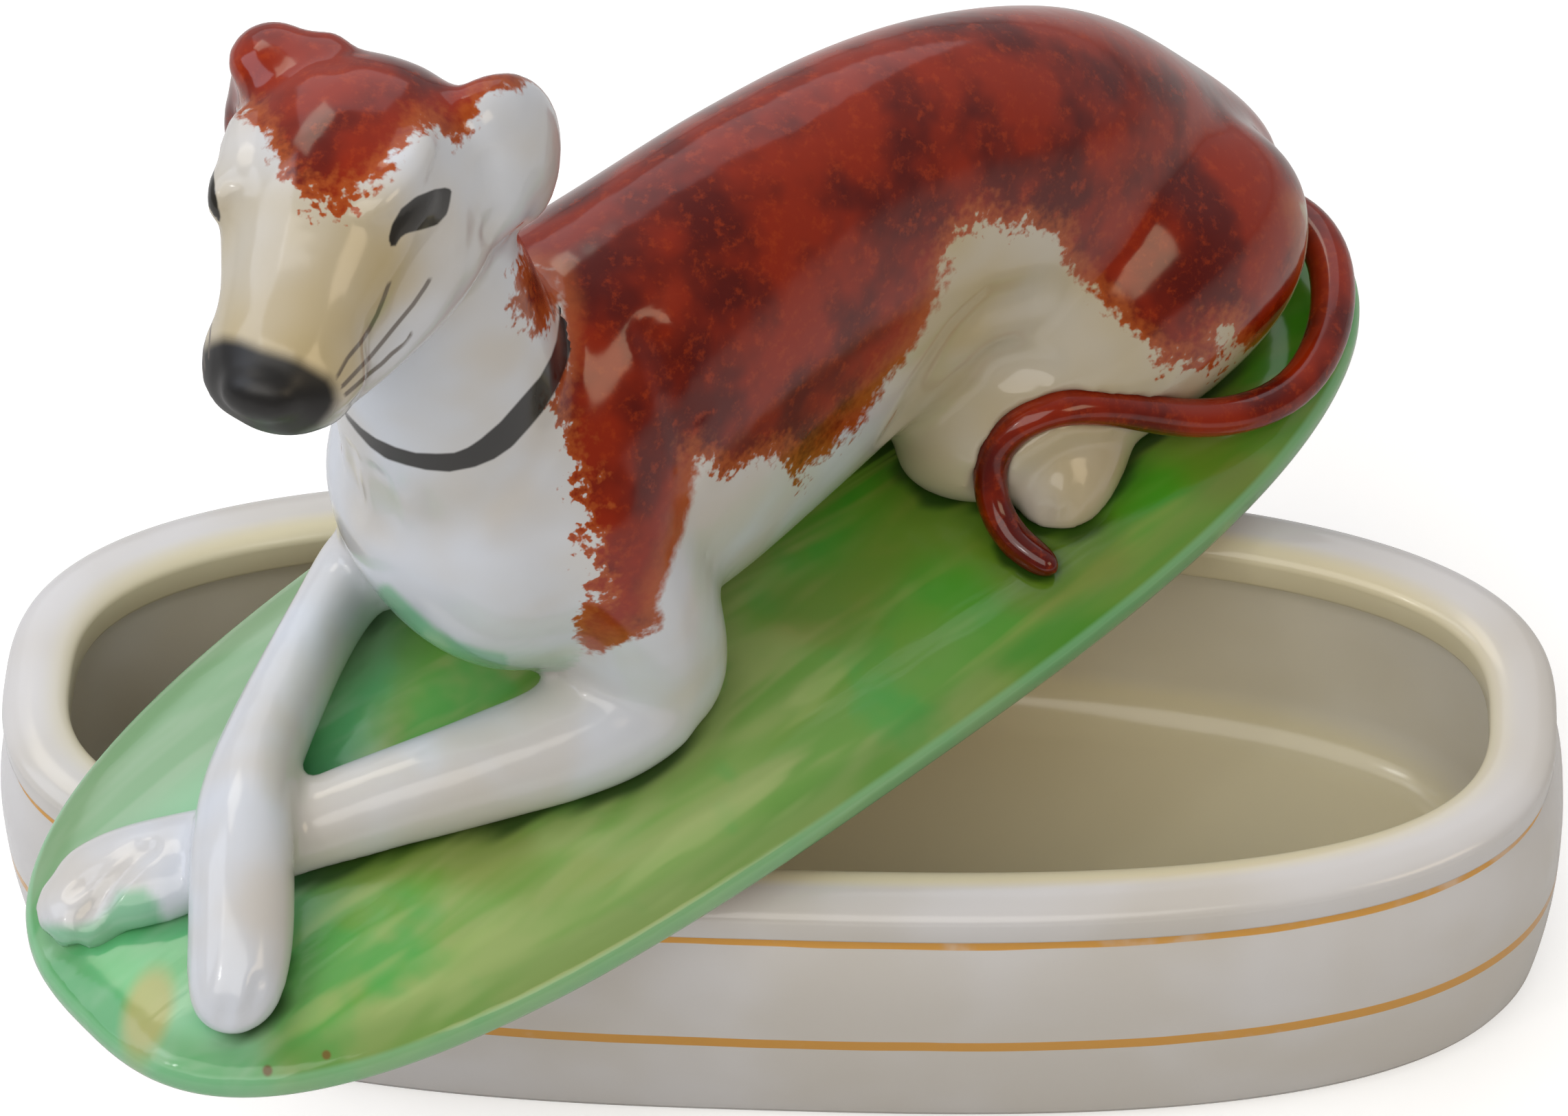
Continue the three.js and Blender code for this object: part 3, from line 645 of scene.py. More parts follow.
def outline_distance(sheet, outline):
    """How far inside the outline each point is, and how ragged the nearest edge is."""
    corners = np.array([corner[:2] for corner in outline], float)
    stray = np.array([corner[2] if len(corner) > 2 else 0 for corner in outline], float)
    best = np.full(len(sheet), np.inf)
    ragged = np.zeros(len(sheet))
    inside = np.zeros(len(sheet), bool)
    for i in range(len(corners)):
        start, end = corners[i - 1], corners[i]
        along = end - start
        t = np.clip((sheet - start) @ along / (along @ along), 0, 1)
        gap = np.linalg.norm(sheet - start - t[:, None] * along, axis=1)
        nearer = gap < best
        best = np.where(nearer, gap, best)
        ragged = np.where(nearer, stray[i - 1] + t * (stray[i] - stray[i - 1]), ragged)
        spans = (start[1] > sheet[:, 1]) != (end[1] > sheet[:, 1])
        rise = end[1] - start[1] if end[1] != start[1] else 1e-9
        cut = start[0] + (sheet[:, 1] - start[1]) / rise * along[0]
        inside ^= spans & (sheet[:, 0] < cut)
    return np.where(inside, best, -best), ragged


def line_offset(sheet, line):
    """How far each point is from the line, positive on one side of it."""
    best = np.full(len(sheet), np.inf)
    offset = np.zeros(len(sheet))
    for start, end in zip(line[:-1], line[1:]):
        start, end = np.array(start, float), np.array(end, float)
        along = (end - start) / np.linalg.norm(end - start)
        past = sheet - start
        t = np.clip(past @ along, 0, np.linalg.norm(end - start))
        gap = np.linalg.norm(past - t[:, None] * along, axis=1)
        side = np.sign(past[:, 0] * along[1] - past[:, 1] * along[0])
        offset = np.where(gap < best, gap * side, offset)
        best = np.minimum(best, gap)
    return offset


def facing(points, normals):
    """1 where a surface looks to the stencil sheet, 0 where it is turned away."""
    ray = points - EYE_POINT
    ray /= np.linalg.norm(ray, axis=1)[:, None]
    return smoothstep(-0.05, 0.2, -(normals * ray).sum(axis=1))


def stencil(piece, name, inside, where=True):
    """Paints how far inside an outline each point lies, where the outline counts."""
    paint(piece, name, np.where(where, np.clip(inside, -FAR, FAR), -FAR))


def body_coat(figure, normals, labels):
    """The body's russet, alike on both sides: the right side is folded over onto the left."""
    folded = figure.copy()
    folded[:, 1] = FIGURE_MIDDLE - np.abs(figure[:, 1] - FIGURE_MIDDLE)
    towards = normals @ axes_of(FIGURE)
    towards[figure[:, 1] > FIGURE_MIDDLE, 1] *= -1
    there = out_of_frame(FIGURE, folded)
    seen = facing(there, towards @ axes_of(FIGURE).T)
    sheet = on_sheet(there)
    saddle, stray = outline_distance(sheet, SADDLE)
    nape, nape_stray = outline_distance(sheet, NAPE)
    stray = np.where(nape > saddle, nape_stray, stray)
    # out of the camera's sight the back is russet, from 20 mm up
    back = np.minimum(folded[:, 2] - 20, folded[:, 0] + 27)
    coat = seen * np.maximum(saddle, nape) + (1 - seen) * back
    far_neck = np.minimum(figure[:, 1] - 10, np.minimum(figure[:, 2] - 40, 64 - figure[:, 2]))
    coat = np.where(labels == "dog_neck", np.maximum(coat, far_neck), coat)
    forelegs = (labels == "foreleg_right") | ((labels == "foreleg_left") & (figure[:, 0] < -34))
    return np.where(forelegs, -FAR, coat), np.where(seen > 0.5, stray, HIDDEN_STRAY)


def head_coat(head, points, normals, labels, seen):
    """The crown's russet. What the sheet doesn't reach is painted as its other side is."""
    flip = (1, -1, 1)
    other = out_of_frame(HEAD, head * flip)
    seen_other = facing(other, (normals @ axes_of(HEAD) * flip) @ axes_of(HEAD).T)
    here, stray = outline_distance(on_sheet(points), CROWN)
    across, _ = outline_distance(on_sheet(other), CROWN)
    # where neither side is in sight, from behind the eyes
    behind = -head[:, 0] - 9 + 0.6 * head[:, 2]
    coat = seen * here + (1 - seen) * (seen_other * across + (1 - seen_other) * behind)
    # the far ear is russet all over, and so is the near one's back
    coat = np.where(labels == "ear_right", 5, coat)
    coat = np.where((labels == "ear_left") & (seen < 0.5), 3, coat)
    return coat, np.where(seen > 0.5, stray, HIDDEN_STRAY)


def make_tail():
    """The coiled tail: russet all over, with nothing of the face on it."""
    tail = moulded_copy("tail", TAIL_SWELL)
    tail.name = "tail_coil"
    tail.data.name = "tail_coil"
    for name, inside in (("russet", 5), ("nose", -FAR), ("black", -FAR), ("whisker_fan", -FAR)):
        paint(tail, name, np.full(len(tail.data.vertices), inside))
    only(tail)
    bpy.ops.object.shade_smooth()
    return tail


def paint_coat(dog, labels):
    """Paints the coat, the face and the collar as numbers for the glaze to read. labels names
    the solid that each point is nearest to."""
    points = vertices_of(dog)
    normals = vertices_of(dog, "normal")
    figure = into_frame(FIGURE, points)
    head = into_frame(HEAD, points)
    sheet = on_sheet(points)
    seen = facing(points, normals)
    on_head = np.isin(labels, HEAD_PARTS)
    body, body_stray = body_coat(figure, normals, labels)
    crown, crown_stray = head_coat(head, points, normals, labels, seen)
    stencil(dog, "russet", np.where(on_head, crown, body))
    paint(dog, "ragged", np.where(on_head, crown_stray, body_stray))

    # the nose, with a round edge where the sheet doesn't reach
    nose, _ = outline_distance(sheet, NOSE)
    nose_tip = head[:, 0] - 17.5 + 2.8 * (np.abs(head[:, 1]) / 6.5) ** 2.5
    stencil(dog, "nose", seen * nose + (1 - seen) * nose_tip, on_head & (head[:, 0] > 8))

    # Both eyes are cut from the near one's outline. The far one is set a little further on.
    raised = out_of_frame(HEAD, (head - (1.6, 0, 1.6)) * (1, -1, 1))
    face = np.where(head[:, 1:2] > 0, sheet, on_sheet(raised))
    eye, _ = outline_distance(face, NEAR_EYE)
    by_eye = on_head & (np.abs(head[:, 0]) < 9) & (np.abs(head[:, 1]) > 5) & (head[:, 2] > -2)

    # the collar, and round the neck's far side a level band of 1.7 mm in its place
    band = figure[:, 2] - (55.6 + 0.2414 * (figure[:, 0] + 40.9) + 0.1883 * (figure[:, 1] - 3.1))
    collar, _ = outline_distance(sheet, COLLAR)
    collar = seen * collar + (1 - seen) * (0.85 - np.abs(band))
    by_collar = (labels == "dog_neck") | on_head & (head[:, 0] < -6) & (head[:, 2] < -9)
    black = np.maximum(np.where(by_eye, eye, -FAR), np.where(by_collar, collar, -FAR))
    stencil(dog, "black", black)

    # whiskers, on both cheeks
    cheek = on_head & (head[:, 0] > 0) & (head[:, 0] < 19) & (head[:, 2] < 4)
    fan, _ = outline_distance(face, WHISKER_FAN)
    stencil(dog, "whisker_fan", fan, cheek)
    for i, line in enumerate(WHISKERS):
        stencil(dog, f"whisker_{i + 1}", line_offset(face, line))

    # cream on the muzzle, and on the haunches and the thighs a painted warm light
    muzzle = smoothstep(-2, 6, head[:, 0]) * smoothstep(-6, 1, head[:, 2])
    haunch = smoothstep(8, 26, figure[:, 0])
    paint(dog, "cream", np.where(on_head, muzzle, haunch))
    # green glaze that ran over the left paw's toes
    paw, _ = outline_distance(sheet, PAW_WASH)
    wash = smoothstep(-0.7, 1.0, paw) * (labels == "foreleg_left") * (figure[:, 0] < -60)
    # and a teal band along the chest's lower edge, with a fainter teal on the faces that look down
    chest = (labels == "dog_torso") & (figure[:, 0] < -18)
    teal = smoothstep(1.5, 0.5, np.abs(line_offset(sheet, CHEST_BAND)))
    downward = smoothstep(-0.2, -0.5, (normals @ axes_of(FIGURE))[:, 2])
    paint(dog, "green_wash", np.where(chest, np.maximum(teal, 0.6 * downward), wash))


# Glazes

def linear(hex_colour):
    """An sRGB hex value as a linear colour."""
    channels = [int(hex_colour[i:i + 2], 16) / 255 for i in (1, 3, 5)]
    return [c / 12.92 if c <= 0.04045 else ((c + 0.055) / 1.055) ** 2.4 for c in channels] + [1]


def feed(tree, node, inputs):
    """Fills a node's inputs, each with a value, or from a node or a socket by a link."""
    for name, value in inputs.items():
        if isinstance(value, bpy.types.Node):
            value = next(socket for socket in value.outputs if socket.enabled)
        if isinstance(value, bpy.types.NodeSocket):
            tree.links.new(value, node.inputs[name])
        else:
            node.inputs[name].default_value = value


def add(tree, kind, settings={}, inputs={}):
    """Adds a node with its settings and links."""
    node = tree.nodes.new(kind)
    for name, value in settings.items():
        setattr(node, name, value)
    feed(tree, node, inputs)
    return node


# The kinds of node and their settings, for short
ATTRIBUTE = "ShaderNodeAttribute"
BUMP = "ShaderNodeBump"
COORDINATES = "ShaderNodeTexCoord"
MAPPING = "ShaderNodeMapping"
MATH = "ShaderNodeMath"
MIX = "ShaderNodeMix"
NOISE = "ShaderNodeTexNoise"
RANGE = "ShaderNodeMapRange"
VECTOR_MATH = "ShaderNodeVectorMath"
COLOUR = {"data_type": "RGBA"}
SMOOTH = {"interpolation_type": "SMOOTHSTEP"}
PLUS = {"operation": "ADD"}
MINUS = {"operation": "SUBTRACT"}
TIMES = {"operation": "MULTIPLY"}
TIMES_PLUS = {"operation": "MULTIPLY_ADD"}
GREATER = {"operation": "MAXIMUM"}
UNSIGNED = {"operation": "ABSOLUTE"}


def new_glaze(name, roughness):
    """A fired glaze is glass of index 1.5, and the eye sees a hard, wet gloss."""
    material = bpy.data.materials.new(name)
    material.use_nodes = True
    tree = material.node_tree
    shader = tree.nodes["Principled BSDF"]
    feed(tree, shader, {"Roughness": roughness, "IOR": 1.5})
    return material, tree, shader


def make_white_glaze():
    """Cast porcelain under a thick clear glaze, with two hand-banded gold lines. The eye sees a
    soft blue-white on the wall, a warmer white inside that is painted warm light and shade, and
    faint waves in the reflections."""
    material, tree, shader = new_glaze("white_porcelain_glaze", 0.16)
    where = add(tree, COORDINATES).outputs["Object"]
    height = add(tree, "ShaderNodeSeparateXYZ", {}, {0: where}).outputs["Z"]
    inside = add(tree, ATTRIBUTE, {"attribute_name": "inside"}).outputs["Fac"]

    # clouds 25 mm across in the glaze
    clouds = add(tree, NOISE, {}, {"Vector": where, "Scale": 40.0, "Detail": 2.0})
    cloudy = add(tree, RANGE, SMOOTH, {"Value": clouds, 1: 0.35, 2: 0.65})
    white = add(tree, MIX, COLOUR, {0: cloudy, 6: linear("#d6d5d6"), 7: linear("#cdc9c3")})
    # painted warm light and shade: the inside of the tray is tinted a warmer white
    inside_warm_light = add(tree, RANGE, SMOOTH, {"Value": inside, 4: 0.9})
    white = add(tree, MIX, COLOUR, {0: inside_warm_light, 6: white, 7: linear("#e3dab8")})

    # gold lines: a brush held to a turning wheel wavers by 0.2 mm, every 14 mm or so
    waver = add(tree, NOISE, {}, {"Vector": where, "Scale": 70.0, "Detail": 1.0})
    shift = add(tree, RANGE, {}, {"Value": waver, 3: -0.22 * MM, 4: 0.22 * MM})
    wavering = add(tree, MATH, PLUS, {0: height, 1: shift})
    wear = add(tree, NOISE, {}, {"Vector": where, "Scale": 190.0, "Detail": 3.0})
    lines = []
    # height, half the width, and where the noise wears it thin
    for level, half, thin in ((31.3 * MM, 0.4 * MM, 0.7), (16.1 * MM, 0.78 * MM, 0.78)):
        off = add(tree, MATH, MINUS, {0: wavering, 1: level})
        off = add(tree, MATH, UNSIGNED, {0: off})
        line = add(tree, RANGE, SMOOTH, {"Value": off, 1: half + 0.06 * MM, 2: half - 0.06 * MM})
        worn = add(tree, RANGE, SMOOTH, {"Value": wear, 1: thin, 2: thin - 0.2, 3: 0.6, 4: 1.0})
        lines.append(add(tree, MATH, TIMES, {0: line, 1: worn}))
    gold = add(tree, MATH, PLUS, {0: lines[0], 1: lines[1]})
    outside = add(tree, RANGE, {}, {"Value": inside, 1: -0.1, 2: -0.4})
    gold = add(tree, MATH, TIMES, {0: gold, 1: outside})
    colour = add(tree, MIX, COLOUR, {0: gold, 6: white, 7: linear("#d9a048")})
    metal = add(tree, MATH, TIMES, {0: gold, 1: 0.35})

    # the foot is wiped clean of glaze
    bare = add(tree, RANGE, {}, {"Value": height, 1: 0.9 * MM, 2: 0.5 * MM})
    rough = add(tree, RANGE, {}, {"Value": bare, 3: 0.16, 4: 0.75})
    colour = add(tree, MIX, COLOUR, {0: bare, 6: colour, 7: linear("#cbc5b8")})
    # waves 9 mm long and under 0.1 mm high
    waves = add(tree, NOISE, {}, {"Vector": where, "Scale": 110.0, "Detail": 2.0})
    bump = add(tree, BUMP, {}, {"Height": waves, "Distance": 0.09 * MM, "Strength": 0.8})
    feed(tree, shader, {"Base Color": colour, "Metallic": metal, "Roughness": rough,
                        "Normal": bump})
    return material


def make_green_glaze():
    """Copper-green glaze brushed over white along the mound. The eye sees mint by the paws, olive
    and grass greens in streaks behind, a painted dark shade round the dog, and a pale edge."""
    material, tree, shader = new_glaze("copper_green_glaze", 0.12)
    where = add(tree, COORDINATES).outputs["Object"]
    # millimetres in the lid's own frame
    lid = add(tree, MAPPING, {"vector_type": "TEXTURE"},
              {"Vector": where, "Location": (LID_CENTRE.x, LID_CENTRE.y, FIGURE_BASE),
               "Rotation": (0, 0, LID_TURN), "Scale": (MM, MM, MM)})
    split = add(tree, "ShaderNodeSeparateXYZ", {}, {0: lid})
    along, across = split.outputs["X"], split.outputs["Y"]
    rim = add(tree, ATTRIBUTE, {"attribute_name": "rim"}).outputs["Fac"]
    from_dog = add(tree, ATTRIBUTE, {"attribute_name": "from_dog"}).outputs["Fac"]
    unpainted = add(tree, ATTRIBUTE, {"attribute_name": "unpainted"}).outputs["Fac"]

    # brush streaks 7 mm wide and five times as long, blotches of 14 mm and streaks of 3 mm
    drawn = add(tree, MAPPING, {}, {"Vector": lid, "Scale": (0.2, 1, 1)})
    streaks = add(tree, NOISE, {}, {"Vector": drawn, "Scale": 0.15, "Detail": 2.0,
                                    "Roughness": 0.45, "Distortion": 0.8})
    blotches = add(tree, NOISE, {}, {"Vector": lid, "Scale": 0.07, "Detail": 3.0})
    fine = add(tree, NOISE, {}, {"Vector": drawn, "Scale": 0.34, "Detail": 1.0})

    grass = add(tree, RANGE, SMOOTH, {"Value": streaks, 1: 0.38, 2: 0.6})
    green = add(tree, MIX, COLOUR, {0: grass, 6: linear("#9cb36c"), 7: linear("#73a64a")})
    emerald = add(tree, RANGE, SMOOTH, {"Value": blotches, 1: 0.5, 2: 0.66, 4: 0.8})
    green = add(tree, MIX, COLOUR, {0: emerald, 6: green, 7: linear("#55ad55")})
    pale = add(tree, RANGE, SMOOTH, {"Value": fine, 1: 0.54, 2: 0.74, 4: 0.45})
    green = add(tree, MIX, COLOUR, {0: pale, 6: green, 7: linear("#b4c680")})
    # mint and emerald near the paws
    strayed = add(tree, RANGE, {}, {"Value": blotches, 3: -14.0, 4: 14.0})
    strayed = add(tree, MATH, PLUS, {0: along, 1: strayed})
    paws = add(tree, MATH, TIMES_PLUS, {0: across, 1: -1.4, 2: strayed})
    minty = add(tree, RANGE, SMOOTH, {"Value": paws, 1: -40.0, 2: -56.0, 4: 0.92})
    mint_mix = add(tree, MIX, COLOUR, {0: grass, 6: linear("#94cfa6"), 7: linear("#62bd82")})
    green = add(tree, MIX, COLOUR, {0: minty, 6: green, 7: mint_mix})
    # a fresher, darker grass green at the tail's end
    tail_end = add(tree, RANGE, SMOOTH, {"Value": strayed, 1: -2.0, 2: 26.0, 4: 0.85})
    fresh_mix = add(tree, MIX, COLOUR, {0: grass, 6: linear("#86a13a"), 7: linear("#459a14")})
    green = add(tree, MIX, COLOUR, {0: tail_end, 6: green, 7: fresh_mix})
    # greyer on the far side of the paws
    far_side = add(tree, RANGE, SMOOTH, {"Value": across, 1: 9.0, 2: 18.0, 4: 0.6})
    far_side = add(tree, MATH, TIMES, {0: far_side, 1: minty})
    green = add(tree, MIX, COLOUR, {0: far_side, 6: green, 7: linear("#a0a78e")})
    # olive where the glaze is thin, in patches 20 mm across, and least by the paws
    thin = add(tree, NOISE, {}, {"Vector": lid, "Scale": 0.05, "Detail": 1.0, "Roughness": 0.3})
    olive = add(tree, RANGE, SMOOTH, {"Value": thin, 1: 0.54, 2: 0.68, 4: 0.5})
    fertile = add(tree, RANGE, {}, {"Value": minty, 1: 0.0, 2: 0.9, 3: 1.0, 4: 0.15})
    olive = add(tree, MATH, TIMES, {0: olive, 1: fertile})
    green = add(tree, MIX, COLOUR, {0: olive, 6: green, 7: linear("#7d7c30")})

    # painted contact shade: the green darkens against the dog, but not round the paws
    unsteady = add(tree, RANGE, {}, {"Value": fine, 3: -1.6, 4: 1.6})
    shade_gap = add(tree, MATH, PLUS, {0: from_dog, 1: unsteady})
    wide_contact_shade = add(tree, RANGE, SMOOTH, {"Value": shade_gap, 1: 5.0, 2: 1.0, 4: 0.35})
    wide_contact_shade = add(tree, MATH, TIMES, {0: wide_contact_shade, 1: fertile})
    green = add(tree, MIX, COLOUR, {0: wide_contact_shade, 6: green, 7: linear("#46700f")})
    deep_contact_shade = add(tree, RANGE, SMOOTH, {"Value": shade_gap, 1: 2.0, 2: 0.4, 4: 0.85})
    beyond = add(tree, RANGE, SMOOTH, {"Value": paws, 1: -64.0, 2: -50.0})
    deep_contact_shade = add(tree, MATH, TIMES, {0: deep_contact_shade, 1: beyond})
    green = add(tree, MIX, COLOUR, {0: deep_contact_shade, 6: green, 7: linear("#1b3a10")})
    # a darker band inside the edge, and a thin pale line at it
    band = add(tree, RANGE, SMOOTH, {"Value": rim, 1: 5.0, 2: 2.0, 4: 0.35})
    green = add(tree, MIX, COLOUR, {0: band, 6: green, 7: linear("#4f7d33")})
    line = add(tree, RANGE, SMOOTH, {"Value": rim, 1: 0.6, 2: 0.1, 4: 0.6})
    green = add(tree, MIX, COLOUR, {0: line, 6: green, 7: linear("#8cc79a")})

    # a tan spot and two brown specks in front of the right paw
    for place_at, size, turn, hex_colour, share in (
            ((-79, -5.3, 3), (2.5, 4.8, 9), -0.9, "#b3ab6a", 0.8),
            ((-74.1, -18.4, 1.8), (0.5, 0.5, 0.9), 0, "#6a4a26", 0.9),
            ((-68.6, -21.0, 2.1), (0.45, 0.45, 0.9), 0, "#7a5a2e", 0.85)):
        near = add(tree, MAPPING, {"vector_type": "TEXTURE"},
                   {"Vector": lid, "Location": place_at, "Rotation": (0, 0, turn), "Scale": size})
        gap = add(tree, VECTOR_MATH, {"operation": "LENGTH"}, {0: near}).outputs["Value"]
        spot = add(tree, RANGE, SMOOTH, {"Value": gap, 1: 1.35, 2: 0.6, 4: share})
        green = add(tree, MIX, COLOUR, {0: spot, 6: green, 7: linear(hex_colour)})

    # the underside and the ring are left white
    edge = add(tree, RANGE, {}, {"Value": fine, 3: -0.5, 4: 0.5})
    edge = add(tree, MATH, PLUS, {0: unpainted, 1: edge})
    bare = add(tree, RANGE, SMOOTH, {"Value": edge, 1: -0.15, 2: 0.15})
    colour = add(tree, MIX, COLOUR, {0: bare, 6: green, 7: linear("#cfccc6")})
    # brush marks 6 mm wide and up to 0.3 mm high
    waves = add(tree, NOISE, {}, {"Vector": drawn, "Scale": 0.16, "Detail": 3.0})
    bump = add(tree, BUMP, {}, {"Height": waves, "Distance": 0.3 * MM, "Strength": 0.8})
    feed(tree, shader, {"Base Color": colour, "Normal": bump})
    return material


def make_dog_glaze():
    """Iron-red glaze dabbed with a sponge over white, black brushed on, all under clear glaze.
    The eye sees ragged edges, mottled russet that thins to orange, cream on the muzzle, and a
    painted warm light on the haunches."""
    material, tree, shader = new_glaze("sponged_russet_glaze", 0.13)
    where = add(tree, COORDINATES).outputs["Object"]
    painted = {name: add(tree, ATTRIBUTE, {"attribute_name": name}).outputs["Fac"]
               for name in ("russet", "ragged", "nose", "black", "whisker_fan", "whisker_1",
                            "whisker_2", "whisker_3", "cream", "green_wash")}

    # white with clouds 16 mm across, cream on the muzzle, and painted warm light on the haunches
    clouds = add(tree, NOISE, {}, {"Vector": where, "Scale": 62.0, "Detail": 2.0})
    cloudy = add(tree, RANGE, SMOOTH, {"Value": clouds, 1: 0.35, 2: 0.65})
    white = add(tree, MIX, COLOUR, {0: cloudy, 6: linear("#d2d7e0"), 7: linear("#cdcac6")})
    cream_and_warm_light = add(tree, RANGE, {}, {"Value": clouds, 1: 0.3, 2: 0.7, 3: 0.6, 4: 1.0})
    cream_and_warm_light = add(tree, MATH, TIMES, {0: cream_and_warm_light, 1: painted["cream"]})
    white = add(tree, MIX, COLOUR, {0: cream_and_warm_light, 6: white, 7: linear("#b9a87f")})

    # the sponge's edge: tufts of 3 mm, with pores of 0.9 mm
    tufts = add(tree, NOISE, {}, {"Vector": where, "Scale": 330.0, "Detail": 2.0})
    pores = add(tree, NOISE, {}, {"Vector": where, "Scale": 1100.0, "Detail": 2.0})
    jag = add(tree, RANGE, {}, {"Value": tufts, 1: 0.3, 2: 0.7, 3: -0.7, 4: 0.7})
    fleck = add(tree, RANGE, {}, {"Value": pores, 1: 0.3, 2: 0.7, 3: -0.85, 4: 0.85})
    jag = add(tree, MATH, PLUS, {0: jag, 1: fleck})
    edge = add(tree, MATH, TIMES_PLUS, {0: jag, 1: painted["ragged"], 2: painted["russet"]})
    cover = add(tree, RANGE, SMOOTH, {"Value": edge, 1: -0.45, 2: 0.6})

    # deep and middle russet in 10 mm clouds, 1.4 mm dabs, orange where the sponge left it thin
    depth = add(tree, NOISE, {}, {"Vector": where, "Scale": 95.0, "Detail": 3.0})
    deep = add(tree, RANGE, SMOOTH, {"Value": depth, 1: 0.38, 2: 0.62})
    russet = add(tree, MIX, COLOUR, {0: deep, 6: linear("#5a0e00"), 7: linear("#902400")})
    dab = add(tree, NOISE, {}, {"Vector": where, "Scale": 700.0, "Detail": 3.0, "Roughness": 0.7})
    dabs = add(tree, RANGE, SMOOTH, {"Value": dab, 1: 0.5, 2: 0.72, 4: 0.45})
    russet = add(tree, MIX, COLOUR, {0: dabs, 6: russet, 7: linear("#ac3c08")})
    thin = add(tree, RANGE, SMOOTH, {"Value": edge, 1: 3.2, 2: 0.2, 4: 0.75})
    russet = add(tree, MIX, COLOUR, {0: thin, 6: russet, 7: linear("#b0561f")})
    colour = add(tree, MIX, COLOUR, {0: cover, 6: white, 7: russet})

    # black: a soft edge to the nose, a crisp one to the eyes and the collar
    nose = add(tree, RANGE, SMOOTH, {"Value": painted["nose"], 1: -0.9, 2: 1.0})
    black = add(tree, RANGE, SMOOTH, {"Value": painted["black"], 1: -0.12, 2: 0.16, 4: 0.96})
    black = add(tree, MATH, GREATER, {0: nose, 1: black})
    brushed = add(tree, MIX, COLOUR, {0: depth, 6: linear("#0b0a09"), 7: linear("#171412")})
    colour = add(tree, MIX, COLOUR, {0: black, 6: colour, 7: brushed})

    # whiskers, 0.4 mm wide, brushed out to nothing at the fan's edge
    fan = add(tree, RANGE, SMOOTH, {"Value": painted["whisker_fan"], 1: 0.0, 2: 0.5})
    for i in (1, 2, 3):
        off = add(tree, MATH, UNSIGNED, {0: painted[f"whisker_{i}"]})
        hair = add(tree, RANGE, SMOOTH, {"Value": off, 1: 0.32, 2: 0.12, 4: 0.85})
        hair = add(tree, MATH, TIMES, {0: hair, 1: fan})
        colour = add(tree, MIX, COLOUR, {0: hair, 6: colour, 7: linear("#5d534b")})

    # green glaze that ran over a paw, and the teal along the chest
    run = add(tree, MATH, TIMES, {0: painted["green_wash"], 1: 0.8})
    colour = add(tree, MIX, COLOUR, {0: run, 6: colour, 7: linear("#6db98a")})

    # the nose's black is dull
    rough = add(tree, RANGE, {}, {"Value": nose, 3: 0.13, 4: 0.42})
    # waves 6 mm long and 0.1 mm high
    waves = add(tree, NOISE, {}, {"Vector": where, "Scale": 160.0, "Detail": 2.0})
    bump = add(tree, BUMP, {}, {"Height": waves, "Distance": 0.12 * MM, "Strength": 0.8})
    feed(tree, shader, {"Roughness": rough, "Base Color": colour, "Normal": bump})
    return material


def dress(piece, material, body, slot, *nodes):
    piece.data.materials.clear()
    piece.data.materials.append(material)
    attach(piece, body)
    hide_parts(*nodes)


# Studio

def make_camera():
    right, up, ahead = camera_axes()
    data = bpy.data.cameras.new("camera")
    data.sensor_width = SENSOR
    data.lens = SENSOR * FOCAL_PIXELS / PHOTO_WIDTH
    data.clip_start = 0.05
    data.clip_end = 20
    camera = bpy.data.objects.new("camera", data)
    bpy.context.scene.collection.objects.link(camera)
    aim = Matrix((right, up, -ahead)).transposed().to_4x4()
    camera.matrix_world = Matrix.Translation(CAMERA_TARGET - ahead * CAMERA_DISTANCE) @ aim
    bpy.context.scene.camera = camera


def softbox(name, place_at, aim_at, width, height, radiance, colour):
    """A lamp whose face is as bright as the radiance, where 1 is white."""
    data = bpy.data.lights.new(name, "AREA")
    data.shape = "RECTANGLE"
    data.size = width
    data.size_y = height
    data.energy = radiance * math.pi * width * height
    data.color = linear(colour)[:3]
    lamp = bpy.data.objects.new(name, data)
    bpy.context.scene.collection.objects.link(lamp)
    lamp.location = place_at
    lamp.rotation_euler = (Vector(aim_at) - Vector(place_at)).to_track_quat("-Z", "Y").to_euler()


def seen_directly(tree):
    """1 for what the camera sees straight on or through glass, and 0 for all other light."""
    path = add(tree, "ShaderNodeLightPath")
    return add(tree, MATH, GREATER,
               {0: path.outputs["Is Camera Ray"], 1: path.outputs["Is Transmission Ray"]})


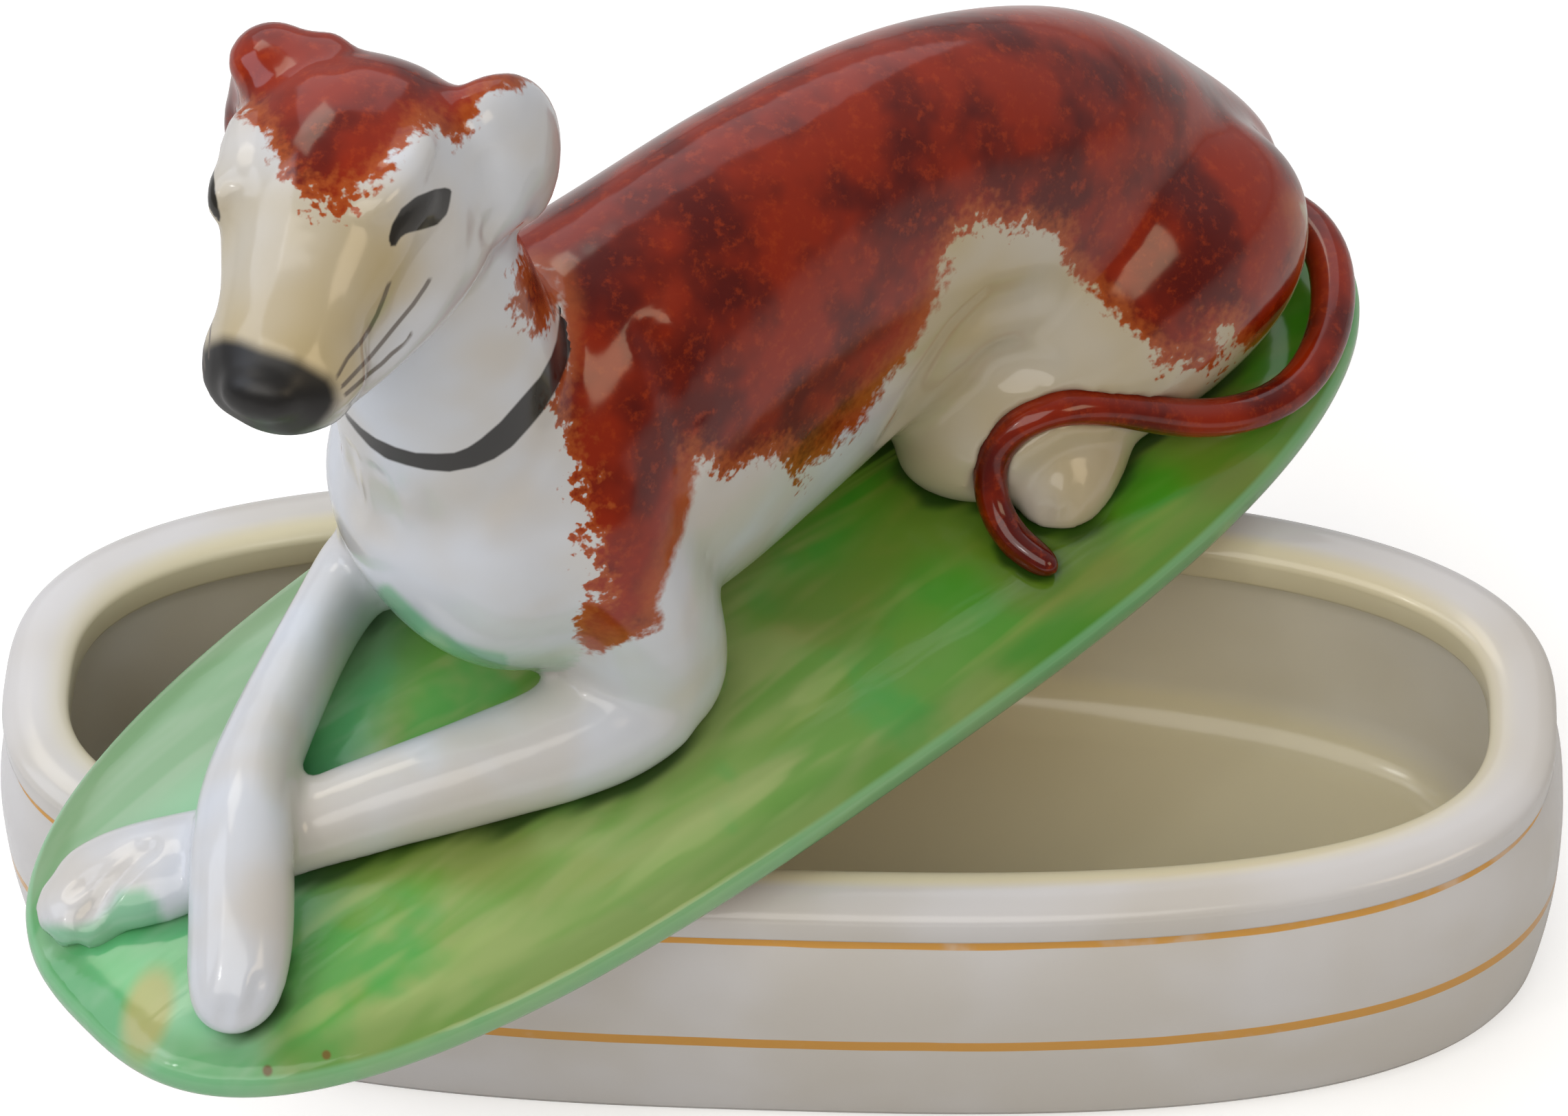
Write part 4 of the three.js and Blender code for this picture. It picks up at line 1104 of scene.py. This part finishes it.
def make_floor():
    """Pale matt paper. To the camera it is lifted to white, and it keeps the shadow."""
    bpy.ops.object.select_all(action="DESELECT")
    bpy.ops.mesh.primitive_plane_add(size=6, location=(0, 0, -0.2 * MM))
    floor = bpy.context.active_object
    floor.name = "floor"
    material = bpy.data.materials.new("pale_paper")
    material.use_nodes = True
    tree = material.node_tree
    lift = add(tree, MATH, TIMES, {0: seen_directly(tree), 1: 0.5})
    feed(tree, tree.nodes["Principled BSDF"],
         {"Base Color": linear("#dedede"), "Roughness": 0.95, "Emission Color": (1, 1, 1, 1),
          "Emission Strength": lift})
    floor.data.materials.append(material)


def make_room():
    """White to the camera. For the glaze it is bright behind the box and dim before it."""
    world = bpy.data.worlds.new("studio")
    bpy.context.scene.world = world
    world.use_nodes = True
    tree = world.node_tree
    seen = seen_directly(tree)
    way = add(tree, COORDINATES).outputs["Generated"]
    back = add(tree, "ShaderNodeSeparateXYZ", {}, {0: way}).outputs["Y"]
    room = add(tree, RANGE, SMOOTH, {"Value": back, 1: -0.5, 2: 0.5, 3: 0.18, 4: 0.55})
    level = add(tree, RANGE, {}, {"Value": seen, 3: room, 4: 1.0})
    feed(tree, tree.nodes["Background"], {"Color": linear("#f2f3f6"), "Strength": level})


def hang_lamps():
    middle = (0, 0, 0.05)
    softbox("wall_behind", (-0.1, 0.95, 0.95), middle, 1.5, 1.0, 0.8, "#f6f7ff")
    softbox("window_left", (-0.85, -0.1, 0.8), middle, 0.6, 0.7, 2.1, "#e6eeff")
    softbox("lamp_front", (-0.3, -0.75, 1.0), middle, 1.2, 0.8, 2.3, "#fffaf2")
    softbox("small_window", (-0.6, -0.55, 0.85), middle, 0.05, 0.12, 20.0, "#ffffff")
    softbox("lamp_over_tray", (-0.45, 0.45, 1.1), (-0.04, 0, 0.02), 0.5, 0.4, 3.0, "#fff4de")
    softbox("lamp_right", (0.8, -0.6, 0.8), middle, 0.5, 0.4, 3.2, "#ffe8c4")


tray = make_tray()
dog = make_dog()
tail = make_tail()
plate = make_plate(dog, tail)

dress(tray, make_white_glaze(), "tray", "tray_glaze", "tray_body")
dress(plate, make_green_glaze(), "lid", "mound_glaze", "lid_plate")
dog_glaze = make_dog_glaze()
dress(dog, dog_glaze, "lid", "dog_glaze", *BODY_PARTS, *HEAD_PARTS)
dress(tail, dog_glaze, "lid", "dog_glaze", "tail")
make_camera()
make_floor()
make_room()
hang_lamps()
bpy.context.scene.view_settings.view_transform = "Standard"
